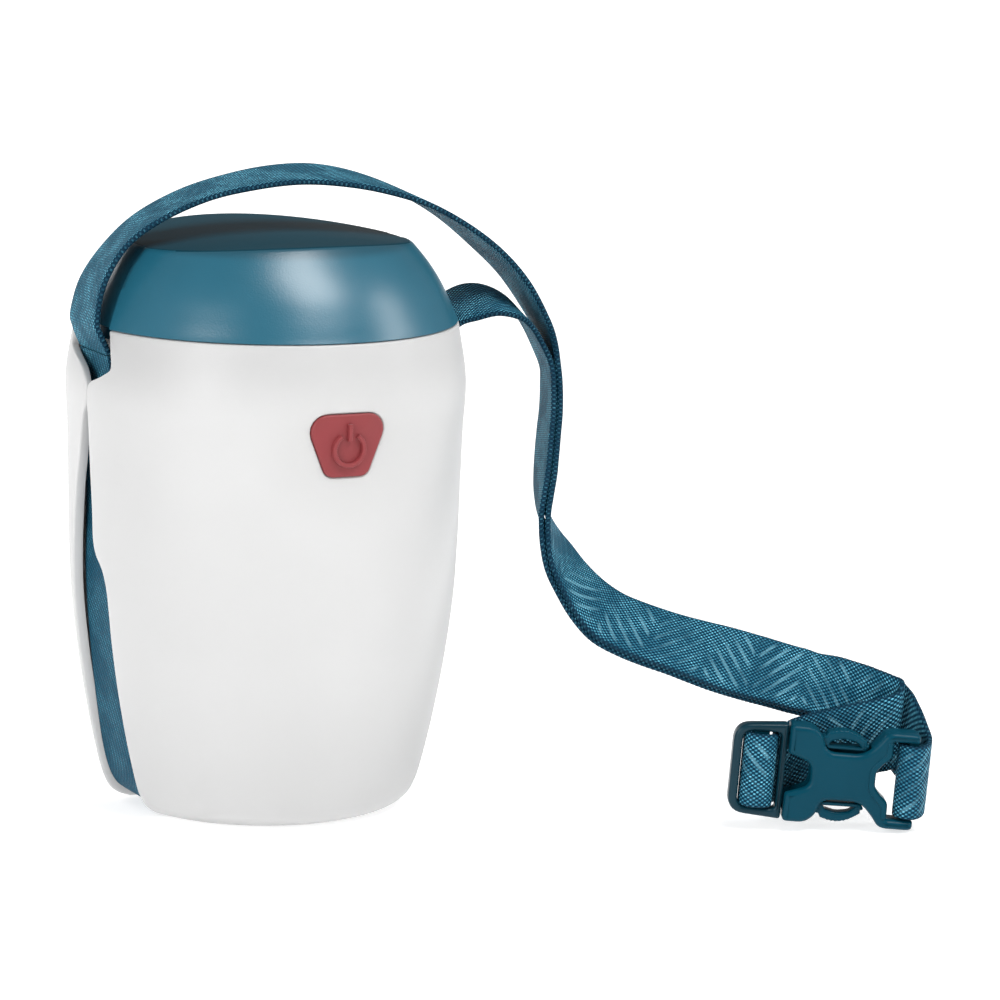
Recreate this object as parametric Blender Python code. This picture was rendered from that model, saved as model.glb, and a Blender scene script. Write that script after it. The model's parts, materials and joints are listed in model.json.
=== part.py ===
"""Rechargeable camping lantern with a webbing carrying strap and a side-release buckle.

Blender 4.5. All dimensions below are in millimetres; meshes are made in metres, +Z up.
The origin is the middle of the base, the power button faces -Y and the strap channels face +X and -X.
"""
import math

import bmesh
import bpy
import numpy as np
from mathutils import Matrix, Vector

MM = 0.001
GAP = 0.3                                   # clearance between neighbouring pieces

# ---- lantern body -------------------------------------------------------------------------------
BODY_PROFILE = ((0.0, 26.0), (1.0, 28.6), (2.6, 30.4), (5.0, 31.6), (13.0, 33.65), (22.0, 35.45),
                (31.0, 36.9), (42.0, 38.2), (52.0, 38.75), (64.0, 39.05), (76.0, 39.35),
                (86.0, 39.75), (97.4, 38.0))                      # height, outer radius
CAP_PROFILE = ((97.8, 37.85), (101.5, 36.15), (105.5, 34.1), (109.0, 31.75), (112.5, 28.8),
               (115.0, 26.4), (118.0, 23.6))
SEGMENTS = 72
SHELL_WALL = 2.0
CAP_WALL = 2.2
CAP_CAVITY_TOP_Z = 111.4
CAP_CROWN_Z = 114.8                         # highest point of the arched top
CAP_ARCH_DROP = 2.1                         # how far the arch has dropped at CAP_ARCH_HALF
CAP_ARCH_HALF = 28.6
CAP_LIP = ((95.0, 35.8), (98.6, 35.4))      # skirt inside the shells: z, outer radius
CAP_LIP_WALL = 1.4
CORE_INSET = 6.0                            # the light core stands this far inside the body outline
CORE_WALL = 1.6
CORE_BOTTOM_Z = 3.0
CORE_TOP_Z = 95.6

# ---- side channels for the strap (left side; the right side is the left turned half round) ------
CHANNEL_FRONT_Y = -9.3
CHANNEL_REAR_Y = 7.8
TAB_SEAM_Y = -3.2
TAB_SEAM_BOTTOM_Z = 82.6
FRONT_STEP = ((-9.3, 42.0), (-8.9, 46.5), (-7.6, 50.3), (-5.7, 52.6), (-4.7, 55.0), (-4.3, 62.0))
REAR_STEP = ((-1.9, 81.4), (-0.8, 79.5), (0.0, 77.5), (0.6, 75.2), (1.3, 72.6), (2.0, 70.2), (3.0, 67.4),
             (4.0, 64.3), (4.9, 60.5), (6.0, 55.5), (7.0, 50.0), (7.6, 45.0), (7.8, 38.0))
MOUTH_LIP = ((-10.8, 90.0), (-8.9, 88.9), (-6.6, 87.8), (-4.4, 86.9), (-3.2, 86.0), (-2.4, 87.2),
             (-0.6, 89.0), (3.0, 90.6), (6.5, 91.6), (10.4, 92.8))
MOUTH_TOP = ((10.4, 98.5), (-7.6, 98.5))
MOUTH_RELIEF = (9.6, 82.0, 99.0)            # thinner wall behind the mouth: half width, z from, z to
MOUTH_LIP_WALL = 1.0
CHANNEL_WALL_Y = 11.6
CHANNEL_WALL_THICKNESS = 1.4
CAP_RECESS = ((7.9, 97.0), (7.2, 99.5), (6.3, 103.4), (5.1, 107.7), (4.1, 111.0), (3.4, 114.5))
CAP_RECESS_DEPTH = ((97.0, 1.5), (103.0, 1.1), (110.0, 0.7), (116.0, 0.3))
SHELL_SPLIT_GAP = 0.3

# ---- power button -------------------------------------------------------------------------------
BUTTON_Z = 78.0
BUTTON_CORNERS = ((-9.2, 6.15, 3.3), (9.2, 6.15, 3.3), (4.3, -6.15, 2.2), (-4.3, -6.15, 2.2))
BUTTON_PROUD = 0.4
BUTTON_GAP = 0.35
BUTTON_FLANGE = 1.2
BUTTON_BOSS_RADIUS = 2.2
BUTTON_BOSS_END_Y = -34.9
CORE_WINDOW_HALF = 5.0

# ---- charging socket and flap -------------------------------------------------------------------
SOCKET_Z = 21.6
SOCKET_SIZE = (9.0, 11.9, 3.2)
SOCKET_OUTER_Y = 32.8
FLAP_HALF_WIDTH = 6.5
FLAP_HALF_HEIGHT = 4.0
FLAP_CORNER = 1.6
FLAP_DEPTH = 1.5
FLAP_PROUD = 0.15
POCKET_DEPTH = 1.8
POCKET_BLOCK_DEPTH = 3.7
POCKET_BLOCK_BORDER = 2.6

# ---- inside -------------------------------------------------------------------------------------
CELL_RADIUS = 9.0
CELL_BOTTOM_Z = 11.0
CELL_TOP_Z = 76.0
HOLDER_INNER_RADIUS = 9.4
HOLDER_OUTER_RADIUS = 11.0
LED_BOARD_Z = 90.0
LED_COUNT = 6
LED_RING_RADIUS = 22.0
LED_SIZE = 3.5
CAP_SCREW_COUNT = 3
CAP_SCREW_RING = 26.0
BASE_SCREW_ANGLES = (50.0, 130.0, 230.0, 310.0)
BASE_SCREW_RING = 19.5

# ---- strap --------------------------------------------------------------------------------------
STRAP_WIDTH = 15.0
STRAP_THICKNESS = 1.2
PAIR_HALF_SPACING = 0.95                    # the two legs lie face to face this far from the middle

# Route of each piece: centre point, then the direction across the width.
BODY_RUN_LEFT = (((-36.3, 0, 92.2), (0, -1, 0)), ((-35.7, 0, 88.5), (0, -1, 0)),
                 ((-35.3, 0, 82.0), (0, -1, 0)), ((-34.9, 0, 74.0), (0, -1, 0)),
                 ((-34.7, 0, 62.0), (0, -1, 0)), ((-34.7, 0, 51.0), (0, -1, 0)),
                 ((-34.3, 0, 41.0), (0, -1, 0)), ((-33.2, 0, 29.6), (0, -1, 0)),
                 ((-31.7, 0, 18.2), (0, -1, 0)), ((-30.2, 0, 9.9), (0, -1, 0)),
                 ((-28.4, 0, 4.9), (0, -1, 0)), ((-26.1, 0, 2.6), (0, -1, 0)),
                 ((-22.5, 0, 1.8), (0, -1, 0)), ((-12.0, 0, 1.7), (0, -1, 0)))
ARCH_ROUTE = (((-36.5, 0, 92.7), (0, -1, 0)), ((-37.3, 0, 94.4), (0, -1, 0)),
              ((-38.3, 0, 96.6), (-0.02, -1, 0)), ((-38.8, 0, 99.2), (-0.04, -1, 0)),
              ((-37.1, 0, 106.0), (-0.08, -1, 0.04)), ((-32.5, 0, 112.8), (-0.1, -1, 0.1)),
              ((-25.7, 0, 118.0), (-0.05, -1, 0.06)), ((-16.0, 0, 122.2), (0, -1, 0.02)),
              ((-6.0, 0, 124.5), (0, -1, -0.04)), ((3.5, 0, 125.6), (0, -1, -0.09)),
              ((12.5, 0, 125.3), (0.02, -1, -0.14)), ((21.5, 0, 123.6), (0.03, -1, -0.13)),
              ((31.0, 0, 120.4), (0.02, -1, -0.08)), ((40.0, 0, 115.6), (0, -1, -0.04)),
              ((48.0, 0, 109.6), (0, -1, 0)), ((54.6, -0.2, 103.0), (-0.06, -1, 0)),
              ((59.6, -1.0, 95.2), (-0.18, -1, 0.06)),
              ((61.6, -2.2, 90.2), (-0.27, -0.95, 0.13)))
SHORT_ROUTE = (((36.5, 0, 92.7), (0, -1, 0)), ((37.5, 0, 94.4), (0, -1, -0.04)),
               ((40.2, -0.3, 97.0), (-0.08, -1, -0.2)),
               ((44.0, -1.0, 98.6), (-0.18, -0.95, -0.32)), ((48.6, -1.8, 99.0), (-0.2, -0.94, -0.24)),
               ((53.4, -2.2, 97.2), (-0.24, -0.94, -0.12)), ((56.5, -2.4, 94.0), (-0.3, -0.93, 0.05)),
               ((58.9, -2.9, 89.8), (-0.32, -0.92, 0.14)))
PAIR_ROUTE = (((61.4, -3.8, 85.2), (-0.32, -0.92, 0.18)), ((59.8, -7.9, 78.9), (-0.31, -0.93, 0.18)),
              ((56.4, -13.5, 71.8), (-0.30, -0.94, 0.18)), ((53.6, -18.2, 65.6), (-0.31, -0.93, 0.18)),
              ((51.0, -23.1, 59.4), (-0.41, -0.89, 0.18)), ((50.8, -26.8, 54.5), (-0.57, -0.81, 0.11)),
              ((51.5, -31.0, 49.6), (-0.67, -0.74, -0.09)), ((53.6, -34.6, 45.2), (-0.72, -0.67, -0.18)),
              ((56.7, -38.2, 40.9), (-0.72, -0.58, -0.38)), ((62.2, -42.3, 37.8), (-0.65, -0.57, -0.49)),
              ((70.3, -46.5, 34.9), (-0.57, -0.61, -0.55)), ((79.5, -48.8, 31.8), (-0.50, -0.55, -0.67)),
              ((89.5, -50.1, 28.6), (-0.50, -0.56, -0.66)), ((98.1, -51.7, 25.9), (-0.48, -0.57, -0.67)))

# ---- buckle: a runs along it, b across it, c towards its front face -----------------------------
BUCKLE_ORIGIN = (95.6, -65.8, 11.1)
BUCKLE_YAW = 23.9                           # degrees that the front face is turned from -Y towards -X
BUCKLE_ROLL = 3.8                           # degrees that the female end dips
ARCH_END_ROUTE = (((1.9, 13.2, -12.1), (-0.1, -0.88, 0.44)), ((6.0, 12.2, -11.0), (-0.05, -0.97, 0.22)),
                  ((9.6, 11.0, -10.3), (0, -1, 0.05)), ((12.2, 9.6, -9.4), (0, -1, 0)),
                  ((12.6, 8.6, -8.1), (0, -1, 0)), ((11.2, 7.8, -7.0), (0, -1, 0)),
                  ((8.0, 6.8, -6.7), (0.15, -1, 0)), ((3.0, 5.4, -6.4), (0.28, -1, 0)),
                  ((-2.0, 3.9, -5.8), (0.28, -1, 0)), ((-6.0, 2.5, -5.2), (0.25, -1, 0)),
                  ((-9.0, 1.1, -4.6), (0.12, -1, 0)), ((-11.2, 0.2, -3.6), (0.02, -1, 0)),
                  ((-12.4, 0, -2.0), (0, -1, 0)),
                  ((-12.6, 0, 0.2), (0, -1, 0)), ((-12.9, 0, 1.4), (0, -1, 0)),
                  ((-13.9, 0, 2.35), (0, -1, 0)), ((-15.4, 0, 2.75), (0, -1, 0)),
                  ((-16.9, 0, 2.35), (0, -1, 0)), ((-17.9, 0, 1.4), (0, -1, 0)),
                  ((-18.2, 0, 0.0), (0, -1, 0)), ((-18.1, 0, -1.6), (0, -1, 0)),
                  ((-17.2, 0, -2.8), (0, -1, 0)), ((-15.7, 0, -3.4), (0, -1, 0)),
                  ((-14.3, 0, -3.7), (0, -1, 0)))
SHORT_END_ROUTE = (((-1.5, 12.8, -15.0), (-0.12, -0.8, 0.55)), ((2.2, 12.2, -14.4), (-0.08, -0.9, 0.38)),
                   ((6.5, 11.3, -13.3), (-0.03, -0.98, 0.18)), ((10.9, 9.5, -12.3), (0, -1, 0)),
                   ((14.2, 7.0, -10.9), (0, -1, 0)), ((16.6, 4.3, -8.4), (0.05, -1, 0)),
                   ((18.0, 2.1, -5.5), (0.05, -1, 0)), ((18.4, 0.7, -2.4), (0, -1, 0)),
                   ((17.5, 0.2, 0.8), (0, -1, 0)), ((15.9, 0, 2.6), (0, -1, 0)),
                   ((14.2, 0, 2.5), (0, -1, 0)), ((12.9, 0, 1.4), (0, -1, 0)),
                   ((12.7, 0, 0.0), (0, -1, 0)), ((13.1, 0, -1.7), (0, -1, 0)),
                   ((14.3, 0, -2.7), (0, -1, 0)), ((15.2, 0, -3.1), (0, -1, 0)),
                   ((15.9, 0, -3.6), (0, -1, 0)))
FEMALE_OUTLINE = ((-9.9, 9.8), (-5.2, 9.8), (-3.4, 8.1), (-2.6, 5.6), (-1.2, 4.7), (3.6, 4.7),
                  (5.4, 5.4), (8.6, 9.1), (9.6, 9.8), (14.8, 9.8), (16.1, 8.5))
FEMALE_NOTCH = ((-9.9, 3.9), (-7.2, 2.9), (-5.6, 2.4), (-5.1, 1.4))
FEMALE_SLOT = ((18.0, 7.8), (10.8, 7.8), (10.8, 3.6), (8.0, 1.5))
FEMALE_BAR = (14.0, 16.0)
FEMALE_HALF_THICKNESS = 3.0
FEMALE_CAVITY = (-11.0, 6.6, 7.9, 1.7)      # a from, a to, half height, half thickness
MALE_OUTLINE = ((-10.2, 9.8), (-17.6, 9.3), (-19.6, 8.6), (-20.7, 7.3), (-20.9, 5.6))
MALE_OPENING = (-19.1, -11.4)
MALE_BAR = (-17.0, -13.8)
MALE_HALF_THICKNESS = 1.8
STRAP_OPENING_HALF = 7.8
BAR_HALF_THICKNESS = 1.2
ARM_OUTLINE = ((-8.9, 7.5), (-4.0, 7.5), (-2.9, 8.0), (-2.3, 8.8), (0.5, 9.25), (3.4, 8.7),
               (5.5, 7.3), (6.0, 6.4), (5.2, 5.7), (-8.9, 5.7), (-9.55, 6.0), (-9.8, 6.6), (-9.55, 7.2))
ARM_SLIT = ((-1.8, 7.4), (0.6, 7.8), (3.2, 7.4), (3.9, 6.8), (-1.8, 6.8))
ARM_HALF_THICKNESS = 1.3
ARM_PIVOT = (-8.9, 6.6)

COLOURS = {
    "frosted_shell": ((0.80, 0.81, 0.82, 1.0), 0.45, 0.0),
    "cap_plastic": ((0.022, 0.125, 0.185, 1.0), 0.40, 0.0),
    "silicone_red": ((0.42, 0.065, 0.085, 1.0), 0.55, 0.0),
    "silicone_white": ((0.70, 0.71, 0.72, 1.0), 0.6, 0.0),
    "core_plastic": ((0.85, 0.85, 0.84, 1.0), 0.5, 0.0),
    "webbing": ((0.012, 0.095, 0.165, 1.0), 0.75, 0.0),
    "buckle_plastic": ((0.006, 0.078, 0.115, 1.0), 0.35, 0.0),
    "circuit_board": ((0.02, 0.16, 0.06, 1.0), 0.5, 0.0),
    "led": ((0.9, 0.8, 0.45, 1.0), 0.3, 0.0),
    "cell_wrap": ((0.05, 0.14, 0.45, 1.0), 0.35, 0.0),
    "steel": ((0.55, 0.56, 0.58, 1.0), 0.3, 1.0),
    "switch_plastic": ((0.03, 0.03, 0.035, 1.0), 0.5, 0.0),
    "seal_rubber": ((0.04, 0.04, 0.045, 1.0), 0.7, 0.0),
}


# ---- small helpers ------------------------------------------------------------------------------
def clear_scene():
    for item in list(bpy.data.objects):
        bpy.data.objects.remove(item, do_unlink=True)


def material(name):
    found = bpy.data.materials.get(name)
    if found:
        return found
    colour, roughness, metallic = COLOURS[name]
    made = bpy.data.materials.new(name)
    made.use_nodes = True
    shader = made.node_tree.nodes["Principled BSDF"]
    shader.inputs["Base Color"].default_value = colour
    shader.inputs["Roughness"].default_value = roughness
    shader.inputs["Metallic"].default_value = metallic
    made.diffuse_color = colour
    return made


def solid(name, vertices, faces, slot=None):
    """A mesh object from vertices in millimetres; its face normals are made to point outwards."""
    mesh = bpy.data.meshes.new(name)
    mesh.from_pydata([Vector(v) * MM for v in vertices], [], faces)
    work = bmesh.new()
    work.from_mesh(mesh)
    bmesh.ops.recalc_face_normals(work, faces=work.faces)
    work.to_mesh(mesh)
    work.free()
    made = bpy.data.objects.new(name, mesh)
    bpy.context.scene.collection.objects.link(made)
    if slot:
        mesh.materials.append(material(slot))
    return made


def smooth_path(points, count):
    """Points spread evenly by length along the Catmull-Rom curve through the given rows."""
    rows = np.array(points, dtype=float)
    rows = np.vstack([2 * rows[0] - rows[1], rows, 2 * rows[-1] - rows[-2]])
    dense = []
    for i in range(1, len(rows) - 2):
        p0, p1, p2, p3 = rows[i - 1], rows[i], rows[i + 1], rows[i + 2]
        for t in np.linspace(0.0, 1.0, 16, endpoint=False):
            dense.append(0.5 * (2 * p1 + (p2 - p0) * t + (2 * p0 - 5 * p1 + 4 * p2 - p3) * t ** 2
                                + (3 * p1 - p0 - 3 * p2 + p3) * t ** 3))
    dense.append(rows[-2])
    dense = np.array(dense)
    steps = np.linalg.norm(np.diff(dense[:, :3], axis=0), axis=1)
    length = np.concatenate([[0.0], np.cumsum(steps)])
    wanted = np.linspace(0.0, length[-1], count)
    return np.column_stack([np.interp(wanted, length, dense[:, k]) for k in range(dense.shape[1])])


def body_radius(z):
    heights, radii = zip(*BODY_PROFILE)
    return float(np.interp(z, heights, radii))


def turned(name, outline, slot=None, segments=SEGMENTS):
    """The solid of an (r, z) outline turned about Z; points with r = 0 close it on the axis."""
    vertices = []
    rings = []
    for r, z in outline:
        if r == 0:
            rings.append([len(vertices)])
            vertices.append((0.0, 0.0, z))
            continue
        rings.append(list(range(len(vertices), len(vertices) + segments)))
        for k in range(segments):
            angle = 2 * math.pi * (k + 0.5) / segments
            vertices.append((r * math.cos(angle), r * math.sin(angle), z))
    faces = []
    for lower, upper in zip(rings, rings[1:] + rings[:1]):
        if len(lower) == 1 and len(upper) == 1:
            continue
        for k in range(segments):
            following = (k + 1) % segments
            if len(lower) == 1:
                faces.append((lower[0], upper[following], upper[k]))
            elif len(upper) == 1:
                faces.append((lower[k], lower[following], upper[0]))
            else:
                faces.append((lower[k], lower[following], upper[following], upper[k]))
    return solid(name, vertices, faces, slot)


def prism(name, outline, low, high, place, slot=None):
    """An outline extruded from low to high; place(u, v, w) turns each corner into x, y, z."""
    count = len(outline)
    vertices = [place(u, v, low) for u, v in outline] + [place(u, v, high) for u, v in outline]
    faces = [tuple(range(count)), tuple(range(2 * count - 1, count - 1, -1))]
    for k in range(count):
        following = (k + 1) % count
        faces.append((k, k + count, following + count, following))
    return solid(name, vertices, faces, slot)


def along_x(u, v, w):
    return (w, u, v)


def along_y(u, v, w):
    return (u, w, v)


def along_z(u, v, w):
    return (u, v, w)


def box(name, low, high, slot=None):
    outline = ((low[0], low[1]), (high[0], low[1]), (high[0], high[1]), (low[0], high[1]))
    return prism(name, outline, low[2], high[2], along_z, slot)


def disc_outline(radius, centre=(0.0, 0.0), count=24):
    angles = [2 * math.pi * k / count for k in range(count)]
    return [(centre[0] + radius * math.cos(a), centre[1] + radius * math.sin(a)) for a in angles]


def move_origin(target, point):
    """Put the object's origin on point, given in millimetres, without moving its mesh."""
    target.data.transform(Matrix.Translation(-Vector(point) * MM))
    target.location = Vector(point) * MM
    return target


def paint(target, slot):
    target.data.materials.clear()
    target.data.materials.append(material(slot))
    return target


def combine(target, other, operation):
    """Apply one exact Boolean to target and remove the other object."""
    step = target.modifiers.new("combine", "BOOLEAN")
    step.operation = operation
    step.solver = "EXACT"
    step.object = other
    graph = bpy.context.evaluated_depsgraph_get()
    result = bpy.data.meshes.new_from_object(target.evaluated_get(graph))
    target.modifiers.clear()
    target.data = result
    bpy.data.objects.remove(other, do_unlink=True)
    return target


def cut(target, cutter):
    return combine(target, cutter, "DIFFERENCE")


def keep(target, region):
    return combine(target, region, "INTERSECT")


def join(target, other):
    return combine(target, other, "UNION")


def rounded_outline(corners, steps=5):
    """Corner arcs of a convex outline given as (x, y, corner radius)."""
    outline = []
    count = len(corners)
    for k in range(count):
        here = Vector(corners[k][:2])
        before = (Vector(corners[k - 1][:2]) - here).normalized()
        after = (Vector(corners[(k + 1) % count][:2]) - here).normalized()
        radius = corners[k][2]
        half = before.angle(after) / 2
        centre = here + (before + after).normalized() * (radius / math.sin(half))
        start = here + before * (radius / math.tan(half)) - centre
        end = here + after * (radius / math.tan(half)) - centre
        turn = start.angle_signed(end)
        for i in range(steps + 1):
            angle = -turn * i / steps
            outline.append((centre.x + start.x * math.cos(angle) - start.y * math.sin(angle),
                            centre.y + start.x * math.sin(angle) + start.y * math.cos(angle)))
    return outline


def grown(corners, amount):
    """The same corner list with its outline moved outwards by amount."""
    grown_corners = []
    count = len(corners)
    for k in range(count):
        here = Vector(corners[k][:2])
        before = (Vector(corners[k - 1][:2]) - here).normalized()
        after = (Vector(corners[(k + 1) % count][:2]) - here).normalized()
        half = before.angle(after) / 2
        moved = here - (before + after).normalized() * (amount / math.sin(half))
        grown_corners.append((moved.x, moved.y, corners[k][2] + amount))
    return grown_corners


def shell_layer(name, outer_offset, inner_offset, low_z, high_z):
    """The part of the body's wall between two offsets from its outline."""
    heights = [low_z] + [z for z, _ in BODY_PROFILE if low_z < z < high_z] + [high_z]
    outline = [(body_radius(z) + outer_offset, z) for z in heights]
    outline += [(body_radius(z) + inner_offset, z) for z in reversed(heights)]
    return turned(name, outline)


# ---- body shells --------------------------------------------------------------------------------
def channel_cutter(side):
    """What both shells leave open at one side: the strap slit below and the strap mouth above."""
    lower = [(CHANNEL_FRONT_Y, -2.0)] + list(FRONT_STEP) + [(TAB_SEAM_Y, TAB_SEAM_BOTTOM_Z)]
    lower += list(REAR_STEP) + [(CHANNEL_REAR_Y, -2.0)]
    upper = list(MOUTH_LIP) + list(MOUTH_TOP)
    pieces = []
    for outline in (lower, upper):
        turned_outline = [(-side * y, z) for y, z in outline]
        pieces.append(prism("channel_cutter", turned_outline, side * 20.0, side * 50.0, along_x))
    return pieces


def base_channel_cutter():
    """The open strip under the base, from the left slit to the right one."""
    outline = ((-30.0, CHANNEL_FRONT_Y), (0.0, CHANNEL_FRONT_Y), (0.0, -CHANNEL_REAR_Y),
               (30.0, -CHANNEL_REAR_Y), (30.0, -CHANNEL_FRONT_Y), (0.0, -CHANNEL_FRONT_Y),
               (0.0, CHANNEL_REAR_Y), (-30.0, CHANNEL_REAR_Y))
    return prism("base_cutter", outline, -2.0, 5.0, along_z)


def body_shell():
    """The whole turned body wall, closed at the base and open at the top."""
    inner = [(z, r) for z, r in BODY_PROFILE if z > 5.5]
    outline = [(0.0, 0.0)] + [(r, z) for z, r in BODY_PROFILE]
    outline += [(r - SHELL_WALL, z) for z, r in reversed(inner)]
    outline += [(body_radius(4.0) - SHELL_WALL, 3.4), (body_radius(1.5) - SHELL_WALL, SHELL_WALL),
                (0.0, SHELL_WALL)]
    return turned("shell", outline)


def half_region(sign):
    """Everything on one side of the parting line, which steps aside at the tabs on both flanks."""
    edge = sign * SHELL_SPLIT_GAP / 2
    outline = [(-60.0, TAB_SEAM_Y + edge), (-20.0, TAB_SEAM_Y + edge), (20.0, -TAB_SEAM_Y + edge),
               (60.0, -TAB_SEAM_Y + edge), (60.0, sign * 60.0), (-60.0, sign * 60.0)]
    return prism("half_region", outline, -5.0, 105.0, along_z)


def channel_walls(sign):
    """The upright wall of one shell behind both slits, which guides the webbing."""
    low = CHANNEL_WALL_Y
    high = CHANNEL_WALL_Y + CHANNEL_WALL_THICKNESS
    walls = shell_layer("channel_walls", -SHELL_WALL + 0.5, -5.2, 6.5, 92.0)
    return keep(walls, box("wall_region", (-60.0, min(sign * low, sign * high), 0.0),
                           (60.0, max(sign * low, sign * high), 100.0)))


def diffuser(name, sign):
    shell = body_shell()
    shell.name = name
    shell.data.name = name
    for side in (-1, 1):
        for piece in channel_cutter(side):
            cut(shell, piece)
        half_y, low_z, high_z = MOUTH_RELIEF
        relief = shell_layer("relief", -MOUTH_LIP_WALL, -SHELL_WALL - 1.0, low_z, high_z)
        region = box("relief_region", (min(side * 20.0, side * 50.0), -half_y, low_z - 1.0),
                     (max(side * 20.0, side * 50.0), half_y, high_z + 1.0))
        cut(shell, keep(relief, region))
    cut(shell, base_channel_cutter())
    keep(shell, half_region(sign))
    join(shell, channel_walls(sign))
    for x, y in base_screw_places():
        if y * sign > 0:
            cut(shell, prism("screw_hole", disc_outline(1.4, (x, y)), -1.0, 3.0, along_z))
            cut(shell, prism("head_recess", disc_outline(2.7, (x, y)), -1.0, 1.3, along_z))
    return paint(shell, "frosted_shell")


def base_screw_places():
    return [(BASE_SCREW_RING * math.cos(math.radians(a)), BASE_SCREW_RING * math.sin(math.radians(a)))
            for a in BASE_SCREW_ANGLES]


def front_diffuser():
    shell = diffuser("front_diffuser", -1)
    hole = rounded_outline([(x, y + BUTTON_Z, r) for x, y, r in grown(BUTTON_CORNERS, BUTTON_GAP)])
    return cut(shell, prism("button_hole", hole, -50.0, -30.0, along_y))


def flap_corners(border):
    wide = FLAP_HALF_WIDTH + border
    high = FLAP_HALF_HEIGHT + border
    radius = FLAP_CORNER + border
    return [(-wide, SOCKET_Z + high, radius), (wide, SOCKET_Z + high, radius),
            (wide, SOCKET_Z - high, radius), (-wide, SOCKET_Z - high, radius)]


def rear_diffuser():
    shell = diffuser("rear_diffuser", 1)
    block = shell_layer("pocket_block", -SHELL_WALL + 0.5, -POCKET_BLOCK_DEPTH, 10.0, 34.0)
    border = rounded_outline(flap_corners(POCKET_BLOCK_BORDER))
    keep(block, prism("block_region", border, 20.0, 50.0, along_y))
    join(shell, block)
    pocket = shell_layer("pocket", 2.0, -POCKET_DEPTH, 12.0, 32.0)
    keep(pocket, prism("pocket_region", rounded_outline(flap_corners(GAP)), 20.0, 50.0, along_y))
    cut(shell, pocket)
    half_x = SOCKET_SIZE[0] / 2 + GAP
    half_z = SOCKET_SIZE[2] / 2 + GAP
    return cut(shell, box("socket_hole", (-half_x, 20.0, SOCKET_Z - half_z),
                          (half_x, 50.0, SOCKET_Z + half_z)))


# ---- cap ----------------------------------------------------------------------------------------
def arch_height(x):
    return CAP_CROWN_Z - CAP_ARCH_DROP * (x / CAP_ARCH_HALF) ** 2


def cap_recess_cutter(side):
    """The shallow tapering hollow that the strap lies over at one flank of the cap."""
    left = [(-y, z) for y, z in CAP_RECESS]
    right = [(y, z) for y, z in reversed(CAP_RECESS)]
    wedge = prism("recess_cutter", left + right, side * 20.0, side * 50.0, along_x)
    cap_heights, cap_radii = zip(*CAP_PROFILE)
    depth_heights, depths = zip(*CAP_RECESS_DEPTH)
    outline = [(0.0, 90.0)]
    for z in (90.0, 97.0, 100.0, 103.0, 106.0, 109.0, 112.0, 116.0):
        radius = float(np.interp(z, cap_heights, cap_radii)) - float(np.interp(z, depth_heights, depths))
        outline.append((radius, z))
    outline.append((0.0, 116.0))
    return cut(wedge, turned("recess_floor", outline))


def top_cap():
    cavity = [(z, r) for z, r in CAP_PROFILE if z < CAP_CAVITY_TOP_Z]
    top_radius = float(np.interp(CAP_CAVITY_TOP_Z, *zip(*CAP_PROFILE))) - CAP_WALL
    outline = [(0.0, CAP_CAVITY_TOP_Z), (top_radius, CAP_CAVITY_TOP_Z)]
    outline += [(r - CAP_WALL, z) for z, r in reversed(cavity) if z > 99.0]
    outline += [(CAP_LIP[1][1] - CAP_LIP_WALL, CAP_LIP[1][0]),
                (CAP_LIP[0][1] - CAP_LIP_WALL, CAP_LIP[0][0]),
                (CAP_LIP[0][1], CAP_LIP[0][0]), (CAP_LIP[1][1], CAP_PROFILE[0][0])]
    outline += [(r, z) for z, r in CAP_PROFILE] + [(0.0, CAP_PROFILE[-1][0])]
    cap = turned("top_cap", outline)
    arch = [(x, arch_height(x)) for x in np.linspace(-45.0, 45.0, 31)] + [(45.0, 130.0), (-45.0, 130.0)]
    cut(cap, prism("arch_cutter", arch, -60.0, 60.0, along_y))
    for side in (-1, 1):
        cut(cap, cap_recess_cutter(side))
    for x, y in cap_screw_places():
        join(cap, prism("boss", disc_outline(3.2, (x, y), 20), 92.4, 112.0, along_z))
        cut(cap, prism("boss_hole", disc_outline(1.7, (x, y), 16), 90.0, 104.0, along_z))
    return paint(cap, "cap_plastic")


def cap_screw_places():
    angles = [math.radians(60.0 + 360.0 * k / CAP_SCREW_COUNT) for k in range(CAP_SCREW_COUNT)]
    return [(CAP_SCREW_RING * math.cos(a), CAP_SCREW_RING * math.sin(a)) for a in angles]


def cap_gasket():
    return turned("cap_gasket", [(31.0, 95.95), (33.0, 95.95), (33.0, 96.75), (31.0, 96.75)],
                  "seal_rubber")


# ---- power button and electronics ---------------------------------------------------------------
def power_button():
    """Silicone pad that follows the shell's curve, with a flange behind the wall and a boss."""
    face = rounded_outline([(x, y + BUTTON_Z, r) for x, y, r in BUTTON_CORNERS])
    pad = keep(shell_layer("power_button", BUTTON_PROUD, -3.2, 60.0, 96.0),
               prism("pad_region", face, -50.0, -20.0, along_y))
    rim = rounded_outline([(x, y + BUTTON_Z, r) for x, y, r in grown(BUTTON_CORNERS, BUTTON_FLANGE)])
    flange = keep(shell_layer("flange", -SHELL_WALL - GAP, -3.2, 60.0, 96.0),
                  prism("flange_region", rim, -50.0, -20.0, along_y))
    join(pad, flange)
    boss = prism("boss", disc_outline(BUTTON_BOSS_RADIUS, (0.0, BUTTON_Z), 20), -37.4, BUTTON_BOSS_END_Y,
                 along_y)
    join(pad, boss)
    return move_origin(paint(pad, "silicone_red"), (0.0, -body_radius(BUTTON_Z), BUTTON_Z))


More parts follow.
